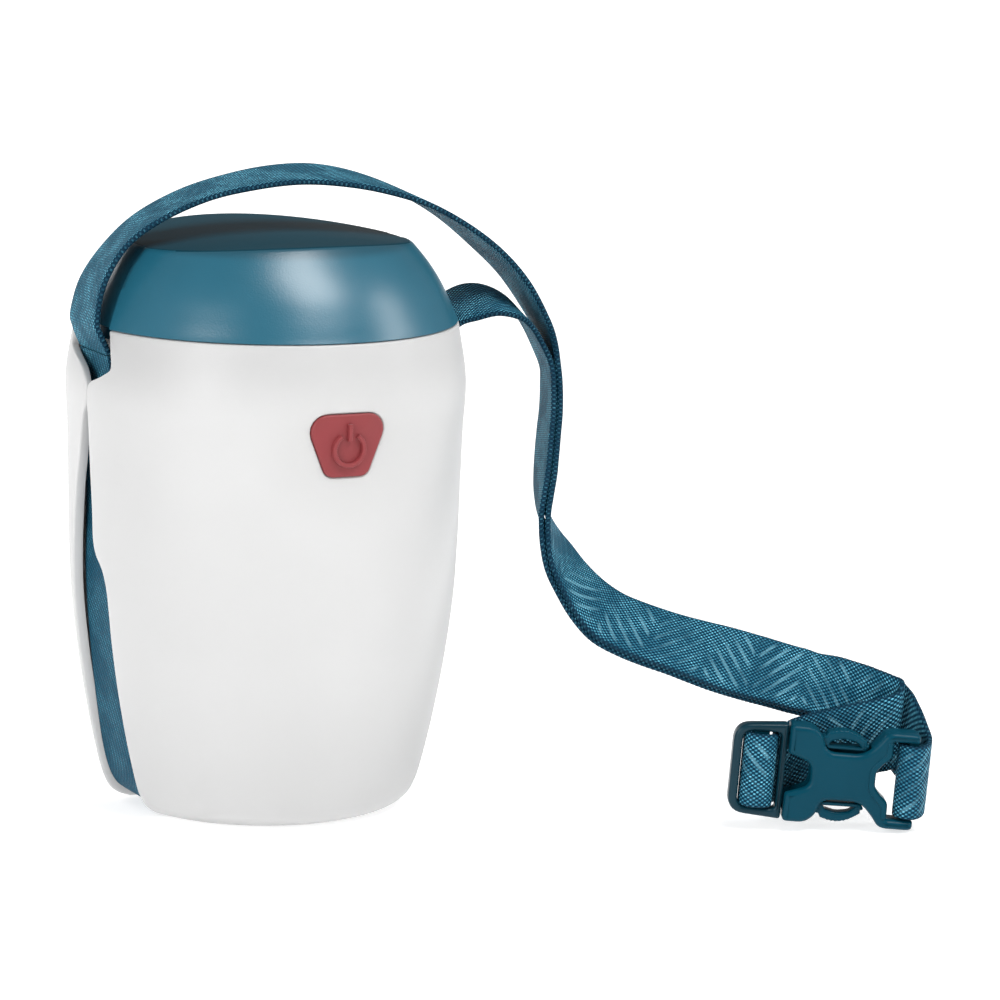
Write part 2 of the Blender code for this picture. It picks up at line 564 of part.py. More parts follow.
def light_core():
    """Translucent inner tube that carries the electronics, closed at its foot."""
    heights = [CORE_BOTTOM_Z + 4.0] + [z for z, _ in BODY_PROFILE if 10 < z < CORE_TOP_Z] + [CORE_TOP_Z]
    outline = [(0.0, CORE_BOTTOM_Z), (22.5, CORE_BOTTOM_Z)]
    outline += [(body_radius(z) - CORE_INSET, z) for z in heights]
    outline += [(body_radius(z) - CORE_INSET - CORE_WALL, z) for z in reversed(heights)]
    outline += [(21.5, CORE_BOTTOM_Z + CORE_WALL), (0.0, CORE_BOTTOM_Z + CORE_WALL)]
    core = turned("light_core", outline)
    window = CORE_WINDOW_HALF
    cut(core, box("switch_window", (-window, -45.0, BUTTON_Z - window), (window, -25.0, BUTTON_Z + window)))
    half_x = SOCKET_SIZE[0] / 2 + GAP
    half_z = SOCKET_SIZE[2] / 2 + GAP
    cut(core, box("socket_window", (-half_x, 24.0, SOCKET_Z - half_z), (half_x, 40.0, SOCKET_Z + half_z)))
    for x, y in base_screw_places():
        join(core, prism("boss", disc_outline(2.8, (x, y), 16), CORE_BOTTOM_Z, 9.0, along_z))
        cut(core, prism("boss_hole", disc_outline(1.4, (x, y), 16), CORE_BOTTOM_Z - 1.0, 8.0, along_z))
    return paint(core, "core_plastic")


def screw(name, place, head, shank):
    """A screw standing at place; head and shank are (low z, high z, radius)."""
    made = prism(name, disc_outline(head[2], place, 20), head[0], head[1], along_z, "steel")
    return join(made, prism("shank", disc_outline(shank[2], place, 16), shank[0], shank[1], along_z))


def screws():
    for number, (x, y) in enumerate(base_screw_places(), start=1):
        made = screw(f"base_screw_{number}", (x, y), (0.3, 1.0, 2.35), (0.9, 7.4, 1.05))
        cut(made, box("drive_slot", (x - 1.6, y - 0.3, 0.0), (x + 1.6, y + 0.3, 0.6)))
    for number, place in enumerate(cap_screw_places(), start=1):
        screw(f"cap_screw_{number}", place, (88.2, 89.7, 2.4), (89.5, 101.0, 1.3))


def led_board():
    board = prism("led_board", disc_outline(30.6, count=48), LED_BOARD_Z, LED_BOARD_Z + 1.4, along_z,
                  "circuit_board")
    for x, y in cap_screw_places():
        cut(board, prism("hole", disc_outline(1.7, (x, y), 16), 88.0, 94.0, along_z))
    return board


def leds():
    for k in range(LED_COUNT):
        angle = 2 * math.pi * (k + 0.5) / LED_COUNT
        x = LED_RING_RADIUS * math.cos(angle)
        y = LED_RING_RADIUS * math.sin(angle)
        half = LED_SIZE / 2
        box(f"led_{k + 1}", (x - half, y - half, LED_BOARD_Z - 1.2),
            (x + half, y + half, LED_BOARD_Z - GAP), "led")


def electronics():
    box("control_board", (-8.0, -29.9, 66.0), (8.0, -28.7, 88.0), "circuit_board")
    switch = box("power_switch", (-3.0, -32.4, BUTTON_Z - 3.0), (3.0, -30.2, BUTTON_Z + 3.0),
                 "switch_plastic")
    join(switch, prism("plunger", disc_outline(1.6, (0.0, BUTTON_Z), 16), -33.6, -32.0, along_y))
    box("charge_board", (-8.0, 12.0, SOCKET_Z - 3.2), (8.0, 25.4, SOCKET_Z - 2.0), "circuit_board")
    half_x = SOCKET_SIZE[0] / 2
    half_z = SOCKET_SIZE[2] / 2
    inner_y = SOCKET_OUTER_Y - SOCKET_SIZE[1]
    socket = box("charge_socket", (-half_x, inner_y, SOCKET_Z - half_z),
                 (half_x, SOCKET_OUTER_Y, SOCKET_Z + half_z), "steel")
    cut(socket, box("socket_mouth", (-half_x + 0.5, inner_y + 1.5, SOCKET_Z - half_z + 0.5),
                    (half_x - 0.5, SOCKET_OUTER_Y + 5.0, SOCKET_Z + half_z - 0.5)))
    return socket


def power_cell():
    holder = turned("cell_holder", [(0.0, 5.0), (HOLDER_OUTER_RADIUS, 5.0), (HOLDER_OUTER_RADIUS, 78.5),
                                    (HOLDER_INNER_RADIUS, 78.5), (HOLDER_INNER_RADIUS, 8.0), (0.0, 8.0)],
                    "core_plastic", 32)
    turned("battery_cell", [(0.0, CELL_BOTTOM_Z), (CELL_RADIUS, CELL_BOTTOM_Z), (CELL_RADIUS, CELL_TOP_Z),
                            (4.0, CELL_TOP_Z), (4.0, CELL_TOP_Z + 1.0), (0.0, CELL_TOP_Z + 1.0)],
           "cell_wrap", 32)
    turned("cell_contact_lower", [(0.0, 8.3), (7.0, 8.3), (7.0, 8.9), (3.0, 10.7), (0.0, 10.7)],
           "steel", 24)
    turned("cell_contact_upper", [(0.0, 77.3), (6.0, 77.3), (6.0, 78.0), (0.0, 78.0)], "steel", 24)
    return holder


def charge_flap():
    """Rubber flap flush with the shell; its hinge line is the top edge of its outer face."""
    flap = keep(shell_layer("charge_flap", FLAP_PROUD, -FLAP_DEPTH, 12.0, 32.0),
                prism("flap_region", rounded_outline(flap_corners(0.0)), 20.0, 50.0, along_y))
    hinge_z = SOCKET_Z + FLAP_HALF_HEIGHT
    return move_origin(paint(flap, "silicone_white"), (0.0, body_radius(hinge_z) + FLAP_PROUD, hinge_z))


# ---- buckle -------------------------------------------------------------------------------------
def buckle_axes():
    yaw = math.radians(BUCKLE_YAW)
    roll = math.radians(BUCKLE_ROLL)
    right = Vector((math.cos(yaw), -math.sin(yaw), 0.0))
    up = Vector((0.0, 0.0, 1.0))
    front = Vector((-math.sin(yaw), -math.cos(yaw), 0.0))
    return right * math.cos(roll) - up * math.sin(roll), right * math.sin(roll) + up * math.cos(roll), front


def buckle_direction(a, b, c):
    along, across, front = buckle_axes()
    return along * a + across * b + front * c


def buckle_place(a, b, c):
    return Vector(BUCKLE_ORIGIN) + buckle_direction(a, b, c)


def mirrored(outline):
    """An outline given for positive b, closed by its mirror image."""
    return list(outline) + [(a, -b) for a, b in reversed(outline)]


def buckle_box(name, low_a, high_a, half_b, low_c, high_c):
    outline = ((low_a, -half_b), (high_a, -half_b), (high_a, half_b), (low_a, half_b))
    return prism(name, outline, low_c, high_c, buckle_place)


def add_bar(body, span):
    """The bar the webbing wraps round, reaching a little into the sides of its opening."""
    half = BAR_HALF_THICKNESS
    join(body, buckle_box("bar", span[0], span[1], STRAP_OPENING_HALF + 0.6, -half, half))


def buckle_female():
    half = FEMALE_HALF_THICKNESS
    outline = mirrored(FEMALE_OUTLINE)
    outline += [(a, -b) for a, b in FEMALE_NOTCH] + list(reversed(FEMALE_NOTCH))
    body = prism("buckle_female", outline, -half, half, buckle_place)
    cut(body, prism("slot", mirrored(FEMALE_SLOT), -5.0, 5.0, buckle_place))
    low_a, high_a, half_b, half_c = FEMALE_CAVITY
    cut(body, buckle_box("cavity", low_a, high_a, half_b, -half_c, half_c))
    add_bar(body, FEMALE_BAR)
    return paint(body, "buckle_plastic")


def buckle_male():
    half = MALE_HALF_THICKNESS
    body = prism("buckle_male", mirrored(MALE_OUTLINE), -half, half, buckle_place)
    cut(body, buckle_box("opening", MALE_OPENING[0], MALE_OPENING[1], STRAP_OPENING_HALF, -5.0, 5.0))
    add_bar(body, MALE_BAR)
    return paint(body, "buckle_plastic")


def buckle_arm(name, side):
    half = ARM_HALF_THICKNESS
    arm = prism(name, [(a, side * b) for a, b in ARM_OUTLINE], -half, half, buckle_place)
    cut(arm, prism("slit", [(a, side * b) for a, b in ARM_SLIT], -5.0, 5.0, buckle_place))
    return move_origin(paint(arm, "buckle_plastic"), buckle_place(ARM_PIVOT[0], side * ARM_PIVOT[1], 0.0))


# ---- strap --------------------------------------------------------------------------------------
def strap_frames(rows):
    """Centres, width directions, face directions and half widths along rows of six numbers."""
    centres = rows[:, :3]
    tangents = np.gradient(centres, axis=0)
    tangents /= np.linalg.norm(tangents, axis=1)[:, None]
    across = rows[:, 3:] / np.linalg.norm(rows[:, 3:], axis=1)[:, None]
    facing = np.cross(across, tangents)
    squareness = np.linalg.norm(facing, axis=1)
    return centres, across, facing / squareness[:, None], STRAP_WIDTH / 2 / squareness


def ribbon(name, rows):
    """A flat webbing solid along rows of centre point and width direction (six numbers each)."""
    vertices = []
    for centre, width, normal, half in zip(*strap_frames(rows)):
        for u, v in ((-1, -1), (1, -1), (1, 1), (-1, 1)):
            vertices.append(tuple(centre + width * u * half + normal * v * STRAP_THICKNESS / 2))
    faces = [(0, 1, 2, 3), tuple(range(len(vertices) - 1, len(vertices) - 5, -1))]
    for k in range(len(rows) - 1):
        for i in range(4):
            start = 4 * k + i
            following = 4 * k + (i + 1) % 4
            faces.append((start, start + 4, following + 4, following))
    return solid(name, vertices, faces, "webbing")


def offset_rows(rows, distance):
    """Rows moved along the webbing's own face direction."""
    centres, _, facing, _ = strap_frames(rows)
    return np.column_stack([centres + facing * distance, rows[:, 3:]])


def flat_rows(route):
    return [tuple(point) + tuple(width) for point, width in route]


def buckle_rows(route):
    return [tuple(buckle_place(*point)) + tuple(buckle_direction(*width)) for point, width in route]


def straps():
    left = flat_rows(BODY_RUN_LEFT)
    right = [(-x, y, z, wx, wy, wz) for x, y, z, wx, wy, wz in reversed(left)]
    ribbon("strap_body_run", smooth_path(left + right, 76))
    pair = smooth_path(flat_rows(PAIR_ROUTE), 22)
    outer = [tuple(row) for row in offset_rows(pair, PAIR_HALF_SPACING)]
    inner = [tuple(row) for row in offset_rows(pair, -PAIR_HALF_SPACING)]
    ribbon("strap_arch_leg", smooth_path(flat_rows(ARCH_ROUTE) + outer + buckle_rows(ARCH_END_ROUTE), 290))
    short = flat_rows(SHORT_ROUTE) + inner + buckle_rows(SHORT_END_ROUTE)
    ribbon("strap_short_leg", smooth_path(short, 200))


def build():
    clear_scene()
    front_diffuser()
    rear_diffuser()
    top_cap()
    cap_gasket()
    power_button()
    light_core()
    led_board()
    leds()
    electronics()
    power_cell()
    charge_flap()
    screws()
    buckle_female()
    buckle_male()
    buckle_arm("buckle_arm_upper", 1)
    buckle_arm("buckle_arm_lower", -1)
    straps()
    for item in bpy.data.objects:
        item.data.shade_smooth()
        item.data.set_sharp_from_angle(angle=math.radians(35.0))


build()
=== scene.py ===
"""Camping lantern with a webbing strap and buckle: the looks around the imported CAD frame.

Working lengths are in millimetres and become metres in put(). +Z is up and the button faces -Y.
"""
import json
import math

import bmesh
import bpy
import numpy as np
from mathutils import Matrix, Vector


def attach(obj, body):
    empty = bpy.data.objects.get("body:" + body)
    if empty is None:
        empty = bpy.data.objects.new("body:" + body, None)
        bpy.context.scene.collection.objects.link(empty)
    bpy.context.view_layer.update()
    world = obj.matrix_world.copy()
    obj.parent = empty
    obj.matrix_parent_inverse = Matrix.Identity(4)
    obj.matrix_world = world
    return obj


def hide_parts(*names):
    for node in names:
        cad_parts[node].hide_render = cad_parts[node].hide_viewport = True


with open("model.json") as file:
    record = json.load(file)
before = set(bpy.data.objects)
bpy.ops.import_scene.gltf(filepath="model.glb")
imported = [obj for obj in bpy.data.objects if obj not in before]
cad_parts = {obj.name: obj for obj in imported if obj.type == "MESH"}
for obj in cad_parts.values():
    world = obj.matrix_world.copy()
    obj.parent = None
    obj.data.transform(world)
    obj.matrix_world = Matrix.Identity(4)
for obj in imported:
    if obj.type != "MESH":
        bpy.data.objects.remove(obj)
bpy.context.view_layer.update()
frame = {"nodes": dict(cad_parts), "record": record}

MM = 0.001
LANTERN = "lantern"

# ---- the lantern's shape, as in the CAD, with finer gaps under the cap and round the button ----
BODY_PROFILE = (   # height, outer radius
    (0.0, 26.0), (1.0, 28.6), (2.6, 30.4), (5.0, 31.6), (13.0, 33.65), (22.0, 35.45), (31.0, 36.9),
    (42.0, 38.2), (52.0, 38.75), (64.0, 39.05), (76.0, 39.35), (86.0, 39.75), (97.4, 38.0))
CAP_PROFILE = (
    (97.52, 37.95), (101.5, 36.15), (105.5, 34.1), (109.0, 31.75), (112.5, 28.8), (115.0, 26.4),
    (118.0, 23.6))
CAP_CROWN_Z = 114.8
CAP_ARCH_DROP = 2.1
CAP_ARCH_HALF = 28.6
CAP_RECESS_HALF = ((97.0, 7.9), (99.5, 7.2), (103.4, 6.3), (107.7, 5.1), (111.0, 4.1), (114.5, 3.4))
CAP_RECESS_DEPTH = ((97.0, 1.5), (103.0, 1.1), (110.0, 0.7), (116.0, 0.3))
FRONT_EDGE = (   # y, z at -X
    (-9.3, -2.0), (-9.3, 36.0), (-9.3, 42.0), (-8.9, 46.5), (-7.6, 50.3), (-5.7, 52.6), (-4.7, 55.0),
    (-4.3, 62.0), (-3.4, 74.0), (-3.35, 80.0), (-3.35, 85.6), (-4.4, 86.9), (-6.6, 87.8), (-8.9, 88.9),
    (-10.6, 90.2), (-9.7, 93.5), (-7.8, 98.5))
REAR_EDGE = (
    (7.8, -2.0), (7.8, 38.0), (7.6, 45.0), (7.0, 50.0), (6.0, 55.5), (4.9, 60.5), (4.0, 64.3), (3.0, 67.4),
    (2.0, 70.2), (1.3, 72.6), (0.6, 75.2), (0.0, 77.5), (-0.8, 79.5), (-1.9, 81.2), (-2.9, 82.6),
    (-3.05, 83.6), (-3.05, 85.8), (-2.4, 87.2), (-0.6, 89.0), (3.0, 90.6), (6.5, 91.6), (9.6, 92.6),
    (10.4, 94.0), (10.4, 98.5))
BUTTON_Z = 78.0
BUTTON_CORNERS = ((-9.2, 6.15, 3.3), (9.2, 6.15, 3.3), (4.3, -6.15, 2.2), (-4.3, -6.15, 2.2))
BUTTON_GAP = 0.06
BUTTON_PROUD = 0.4
FLAP_Z = 21.6
FLAP_CORNERS = ((-6.5, 4.0, 1.6), (6.5, 4.0, 1.6), (6.5, -4.0, 1.6), (-6.5, -4.0, 1.6))
FLAP_GAP = 0.3
SOCKET_HALF = (4.8, 1.9)
BASE_SCREW_RING = 19.5
BASE_SCREW_ANGLES = (50.0, 130.0, 230.0, 310.0)

# ---- strap routes, as in the CAD: centre point, then the direction across the width ----
STRAP_WIDTH = 15.0
STRAP_THICKNESS = 1.2
PAIR_HALF_SPACING = 0.68                    # the CAD has 0.95; here no light shows between the legs
BUCKLE_ORIGIN = (95.6, -65.8, 11.1)
BUCKLE_YAW = 23.9
BUCKLE_ROLL = 3.8
BODY_RUN_LEFT = [((x, 0, z), (0, -1, 0)) for x, z in (
    (-36.3, 92.2), (-35.7, 88.5), (-35.3, 82.0), (-34.9, 74.0), (-34.7, 62.0), (-34.7, 51.0),
    (-34.3, 41.0), (-33.2, 29.6), (-31.7, 18.2), (-30.2, 9.9), (-28.4, 4.9), (-26.1, 2.6), (-22.5, 1.8),
    (-12.0, 1.7))]
ARCH_ROUTE = (
    ((-36.5, 0, 92.7), (0, -1, 0)), ((-37.3, 0, 94.4), (0, -1, 0)), ((-38.3, 0, 96.6), (-0.02, -1, 0)),
    ((-38.8, 0, 99.2), (-0.04, -1, 0)), ((-37.1, 0, 106.0), (-0.08, -1, 0.04)),
    ((-32.5, 0, 112.8), (-0.1, -1, 0.1)), ((-25.7, 0, 118.0), (-0.05, -1, 0.06)),
    ((-16.0, 0, 122.2), (0, -1, 0.02)), ((-6.0, 0, 124.5), (0, -1, -0.04)),
    ((3.5, 0, 125.6), (0, -1, -0.09)), ((12.5, 0, 125.3), (0.02, -1, -0.14)),
    ((21.5, 0, 123.6), (0.03, -1, -0.13)), ((31.0, 0, 120.4), (0.02, -1, -0.08)),
    ((40.0, 0, 115.6), (0, -1, -0.04)), ((48.0, 0, 109.6), (0, -1, 0)),
    ((54.6, -0.2, 103.0), (-0.06, -1, 0)), ((59.6, -1.0, 95.2), (-0.18, -1, 0.06)),
    ((61.6, -2.2, 90.2), (-0.27, -0.95, 0.13)))
SHORT_ROUTE = (
    ((36.5, 0, 92.7), (0, -1, 0)), ((37.5, 0, 94.4), (0, -1, -0.04)),
    ((40.2, -0.3, 97.0), (-0.08, -1, -0.2)), ((44.0, -1.0, 98.6), (-0.18, -0.95, -0.32)),
    ((48.6, -1.8, 99.0), (-0.2, -0.94, -0.24)), ((53.4, -2.2, 97.2), (-0.24, -0.94, -0.12)),
    ((56.5, -2.4, 94.0), (-0.3, -0.93, 0.05)), ((58.9, -2.9, 89.8), (-0.32, -0.92, 0.14)))
PAIR_ROUTE = (
    ((61.4, -3.8, 85.2), (-0.32, -0.92, 0.18)), ((59.8, -7.9, 78.9), (-0.31, -0.93, 0.18)),
    ((56.4, -13.5, 71.8), (-0.30, -0.94, 0.18)), ((53.6, -18.2, 65.6), (-0.31, -0.93, 0.18)),
    ((51.0, -23.1, 59.4), (-0.41, -0.89, 0.18)), ((50.8, -26.8, 54.5), (-0.57, -0.81, 0.11)),
    ((51.5, -31.0, 49.6), (-0.67, -0.74, -0.09)), ((53.6, -34.6, 45.2), (-0.72, -0.67, -0.18)),
    ((56.7, -38.2, 40.9), (-0.72, -0.58, -0.38)), ((62.2, -42.3, 37.8), (-0.65, -0.57, -0.49)),
    ((70.3, -46.5, 34.9), (-0.57, -0.61, -0.55)), ((79.5, -48.8, 31.8), (-0.50, -0.55, -0.67)),
    ((89.5, -50.1, 28.6), (-0.50, -0.56, -0.66)), ((98.1, -51.7, 25.9), (-0.48, -0.57, -0.67)))
ARCH_END_ROUTE = (
    ((1.9, 13.2, -12.1), (-0.1, -0.88, 0.44)), ((6.0, 12.2, -11.0), (-0.05, -0.97, 0.22)),
    ((9.6, 11.0, -10.3), (0, -1, 0.05)), ((12.2, 9.6, -9.4), (0, -1, 0)), ((12.6, 8.6, -8.1), (0, -1, 0)),
    ((11.2, 7.8, -7.0), (0, -1, 0)), ((8.0, 6.8, -6.7), (0.15, -1, 0)), ((3.0, 5.4, -6.4), (0.28, -1, 0)),
    ((-2.0, 3.9, -5.8), (0.28, -1, 0)), ((-6.0, 2.5, -5.2), (0.25, -1, 0)),
    ((-9.0, 1.1, -4.6), (0.12, -1, 0)), ((-11.2, 0.2, -3.6), (0.02, -1, 0)),
    ((-12.4, 0, -2.0), (0, -1, 0)), ((-12.6, 0, 0.2), (0, -1, 0)), ((-12.9, 0, 1.4), (0, -1, 0)),
    ((-13.9, 0, 2.35), (0, -1, 0)), ((-15.4, 0, 2.75), (0, -1, 0)), ((-16.9, 0, 2.35), (0, -1, 0)),
    ((-17.9, 0, 1.4), (0, -1, 0)), ((-18.2, 0, 0.0), (0, -1, 0)), ((-18.1, 0, -1.6), (0, -1, 0)),
    ((-17.2, 0, -2.8), (0, -1, 0)), ((-15.7, 0, -3.4), (0, -1, 0)), ((-14.3, 0, -3.7), (0, -1, 0)))
SHORT_END_ROUTE = (
    ((-1.5, 12.8, -15.0), (-0.12, -0.8, 0.55)), ((2.2, 12.2, -14.4), (-0.08, -0.9, 0.38)),
    ((6.5, 11.3, -13.3), (-0.03, -0.98, 0.18)), ((10.9, 9.5, -12.3), (0, -1, 0)),
    ((14.2, 7.0, -10.9), (0, -1, 0)), ((16.6, 4.3, -8.4), (0.05, -1, 0)),
    ((18.0, 2.1, -5.5), (0.05, -1, 0)), ((18.4, 0.7, -2.4), (0, -1, 0)), ((17.5, 0.2, 0.8), (0, -1, 0)),
    ((15.9, 0, 2.6), (0, -1, 0)), ((14.2, 0, 2.5), (0, -1, 0)), ((12.9, 0, 1.4), (0, -1, 0)),
    ((12.7, 0, 0.0), (0, -1, 0)), ((13.1, 0, -1.7), (0, -1, 0)), ((14.3, 0, -2.7), (0, -1, 0)),
    ((15.2, 0, -3.1), (0, -1, 0)), ((15.9, 0, -3.6), (0, -1, 0)))

# ---- camera ----
CAMERA_PLACE = (-0.39699, -0.89904, 0.24273)
CAMERA_AZIMUTH = 26.573
CAMERA_PITCH = 10.452
CAMERA_ROLL = 1.474
CAMERA_LENS = 179.94
CAMERA_SENSOR = 36.0
CAMERA_REACH = 20.0


# ---- geometry helpers ----
SHARP_ANGLE = 35.0


def put(name, vertices, faces, materials, sharp=SHARP_ANGLE, uvs=None):
    """A smooth-shaded object from vertices in millimetres; uvs holds one (u, v) for each vertex."""
    mesh = bpy.data.meshes.new(name)
    mesh.from_pydata([tuple(np.array(v, dtype=float) * MM) for v in vertices], [], faces)
    work = bmesh.new()
    work.from_mesh(mesh)
    bmesh.ops.recalc_face_normals(work, faces=work.faces)
    work.to_mesh(mesh)
    work.free()
    if uvs is not None:
        layer = mesh.uv_layers.new(name="weave")
        for loop in mesh.loops:
            layer.data[loop.index].uv = uvs[loop.vertex_index]
    for item in materials:
        mesh.materials.append(item)
    mesh.shade_smooth()
    mesh.set_sharp_from_angle(angle=math.radians(sharp))
    made = bpy.data.objects.new(name, mesh)
    bpy.context.scene.collection.objects.link(made)
    return made


def smooth_curve(points, steps):
    """Centripetal Catmull-Rom curve through points, with the given steps for each stretch."""
    rows = np.array(points, dtype=float)
    rows = np.vstack([2 * rows[0] - rows[1], rows, 2 * rows[-1] - rows[-2]])
    curve = []
    for p0, p1, p2, p3 in zip(rows, rows[1:], rows[2:], rows[3:]):
        t0 = 0.0
        t1 = t0 + np.linalg.norm(p1 - p0) ** 0.5
        t2 = t1 + np.linalg.norm(p2 - p1) ** 0.5
        t3 = t2 + np.linalg.norm(p3 - p2) ** 0.5
        for t in np.linspace(t1, t2, steps, endpoint=False):
            a1 = (t1 - t) / (t1 - t0) * p0 + (t - t0) / (t1 - t0) * p1
            a2 = (t2 - t) / (t2 - t1) * p1 + (t - t1) / (t2 - t1) * p2
            a3 = (t3 - t) / (t3 - t2) * p2 + (t - t2) / (t3 - t2) * p3
            b1 = (t2 - t) / (t2 - t0) * a1 + (t - t0) / (t2 - t0) * a2
            b2 = (t3 - t) / (t3 - t1) * a2 + (t - t1) / (t3 - t1) * a3
            curve.append((t2 - t) / (t2 - t1) * b1 + (t - t1) / (t2 - t1) * b2)
    curve.append(rows[-2])
    return np.array(curve)


def table_of(points, steps=8):
    """(sorted key, value) columns of a smooth curve through (key, value) points."""
    curve = smooth_curve(points, steps)
    curve = curve[np.argsort(curve[:, 0], kind="stable")]
    return curve[:, 0], curve[:, 1]


BODY_TABLE = table_of(BODY_PROFILE)
CAP_TABLE = table_of(CAP_PROFILE)
FRONT_TABLE = table_of([(z, y) for y, z in FRONT_EDGE])
REAR_TABLE = table_of([(z, y) for y, z in REAR_EDGE])


def body_radius(z):
    return float(np.interp(z, *BODY_TABLE))


def strip(rows, closed_rows=False):
    """Quads between successive rows of equal length, given as lists of vertex numbers."""
    faces = []
    for lower, upper in zip(rows, rows[1:]):
        count = len(lower)
        for k in range(count if closed_rows else count - 1):
            following = (k + 1) % count
            faces.append((lower[k], lower[following], upper[following], upper[k]))
    return faces


def closed_strip(rows):
    """A closed skin over successive rings of vertices, with both ends filled."""
    return strip(rows, closed_rows=True) + [tuple(rows[0]), tuple(rows[-1])]


def skin(rings):
    """Vertices and faces of a closed skin over successive rings of points."""
    count = len(rings[0])
    rows = [list(range(k * count, (k + 1) * count)) for k in range(len(rings))]
    return [tuple(point) for ring in rings for point in ring], closed_strip(rows)


def cut(target, cutter):
    """Cut the cutter's shape out of the target and delete the cutter."""
    step = target.modifiers.new("cut", "BOOLEAN")
    step.operation = "DIFFERENCE"
    step.solver = "EXACT"
    step.object = cutter
    graph = bpy.context.evaluated_depsgraph_get()
    result = bpy.data.meshes.new_from_object(target.evaluated_get(graph))
    target.modifiers.clear()
    old = target.data
    target.data = result
    bpy.data.meshes.remove(old)
    bpy.data.objects.remove(cutter, do_unlink=True)
    target.data.set_sharp_from_angle(angle=math.radians(SHARP_ANGLE))


def rounded_outline(corners, steps=6):
    """Corner arcs of a convex outline given as (x, y, corner radius)."""
    outline = []
    count = len(corners)
    for k in range(count):
        here = Vector(corners[k][:2])
        before = (Vector(corners[k - 1][:2]) - here).normalized()
        after = (Vector(corners[(k + 1) % count][:2]) - here).normalized()
        radius = corners[k][2]
        half = before.angle(after) / 2
        centre = here + (before + after).normalized() * (radius / math.sin(half))
        start = here + before * (radius / math.tan(half)) - centre
        end = here + after * (radius / math.tan(half)) - centre
        turn = start.angle_signed(end)
        for i in range(steps + 1):
            angle = -turn * i / steps
            outline.append((centre.x + start.x * math.cos(angle) - start.y * math.sin(angle),
                            centre.y + start.x * math.sin(angle) + start.y * math.cos(angle)))
    return outline


def grown(corners, amount):
    moved_corners = []
    count = len(corners)
    for k in range(count):
        here = Vector(corners[k][:2])
        before = (Vector(corners[k - 1][:2]) - here).normalized()
        after = (Vector(corners[(k + 1) % count][:2]) - here).normalized()
        half = before.angle(after) / 2
        moved = here - (before + after).normalized() * (amount / math.sin(half))
        moved_corners.append((moved.x, moved.y, corners[k][2] + amount))
    return moved_corners


def patch(name, corners, centre_z, rings, side, materials):
    """A closed pad that follows the body's surface. rings are (growth, scale, height above it)."""
    loops = []
    for growth, scale, height in rings:
        loop = []
        for x, z in rounded_outline(grown(corners, growth)):
            x, z = x * scale, z * scale + centre_z
            radius = body_radius(z) + height
            loop.append((x, side * math.sqrt(radius * radius - x * x), z))
        loops.append(loop)
    return put(name, *skin(loops), materials)


# ---- materials ----
class Nodes:
    """Short names for building one material's node tree."""

    def __init__(self, name):
        self.material = bpy.data.materials.new(name)
        self.material.use_nodes = True
        self.tree = self.material.node_tree
        self.shader = self.tree.nodes["Principled BSDF"]

    def add(self, kind, **values):
        node = self.tree.nodes.new(kind)
        for key, value in values.items():
            setattr(node, key, value)
        return node

    def link(self, source, target):
        self.tree.links.new(source, target)

    def feed(self, socket, value):
        """Link or set a socket; a colour is given as three numbers."""
        if isinstance(value, bpy.types.NodeSocket):
            self.link(value, socket)
        elif socket.type == "RGBA":
            socket.default_value = (*value, 1.0)
        else:
            socket.default_value = value

    def place(self):
        return self.add("ShaderNodeTexCoord").outputs["Object"]

    def math(self, operation, first, second=0.0):
        node = self.add("ShaderNodeMath", operation=operation)
        for socket, value in zip(node.inputs, (first, second)):
            self.feed(socket, value)
        return node.outputs[0]

    def times(self, first, second):
        return self.math("MULTIPLY", first, second)

    def split(self, vector):
        node = self.add("ShaderNodeSeparateXYZ")
        self.link(vector, node.inputs[0])
        return node.outputs

    def noise(self, vector, scale, detail=2.0, rough=0.5):
        node = self.add("ShaderNodeTexNoise")
        self.link(vector, node.inputs["Vector"])
        node.inputs["Scale"].default_value = scale
        node.inputs["Detail"].default_value = detail
        node.inputs["Roughness"].default_value = rough
        return node.outputs["Fac"]

    def spread(self, value, low, high, to_low=0.0, to_high=1.0):
        """value from low..high mapped to to_low..to_high, clamped, with smooth ends."""
        node = self.add("ShaderNodeMapRange", interpolation_type="SMOOTHSTEP")
        names = ("From Min", "From Max", "To Min", "To Max")
        for key, number in zip(names, (low, high, to_low, to_high)):
            node.inputs[key].default_value = number
        self.feed(node.inputs["Value"], value)
        return node.outputs["Result"]

    def mix(self, factor, first, second):
        node = self.add("ShaderNodeMix", data_type="RGBA")
        self.feed(node.inputs["Factor"], factor)
        self.feed(node.inputs["A"], first)
        self.feed(node.inputs["B"], second)
        return node.outputs["Result"]

    def mottle(self, pattern, first, second):
        return self.mix(self.spread(pattern, 0.35, 0.65), first, second)

    def gloss(self, pattern, low, high):
        return self.spread(pattern, 0.3, 0.7, low, high)

    def set(self, **values):
        for key, value in values.items():
            self.feed(self.shader.inputs[key.replace("_", " ")], value)

    def bump(self, height, distance):
        node = self.add("ShaderNodeBump")
        self.link(height, node.inputs["Height"])
        node.inputs["Distance"].default_value = distance
        node.inputs["Strength"].default_value = 1.0
        self.link(node.outputs["Normal"], self.shader.inputs["Normal"])


def grained_plastic(name, colour, other, roughness, grain=0.00035, height=0.00002, **sockets):
    """Moulded plastic with spark-eroded grain and slight colour and gloss variation."""
    make = Nodes(name)
    place = make.place()
    fine = make.noise(place, 1.0 / grain, 1.0)
    broad = make.noise(place, 40.0, 2.0)
    make.set(Base_Color=make.mottle(broad, colour, other),
             Roughness=make.gloss(broad, roughness - 0.03, roughness + 0.04), **sockets)
    make.bump(fine, height)
    return make.material


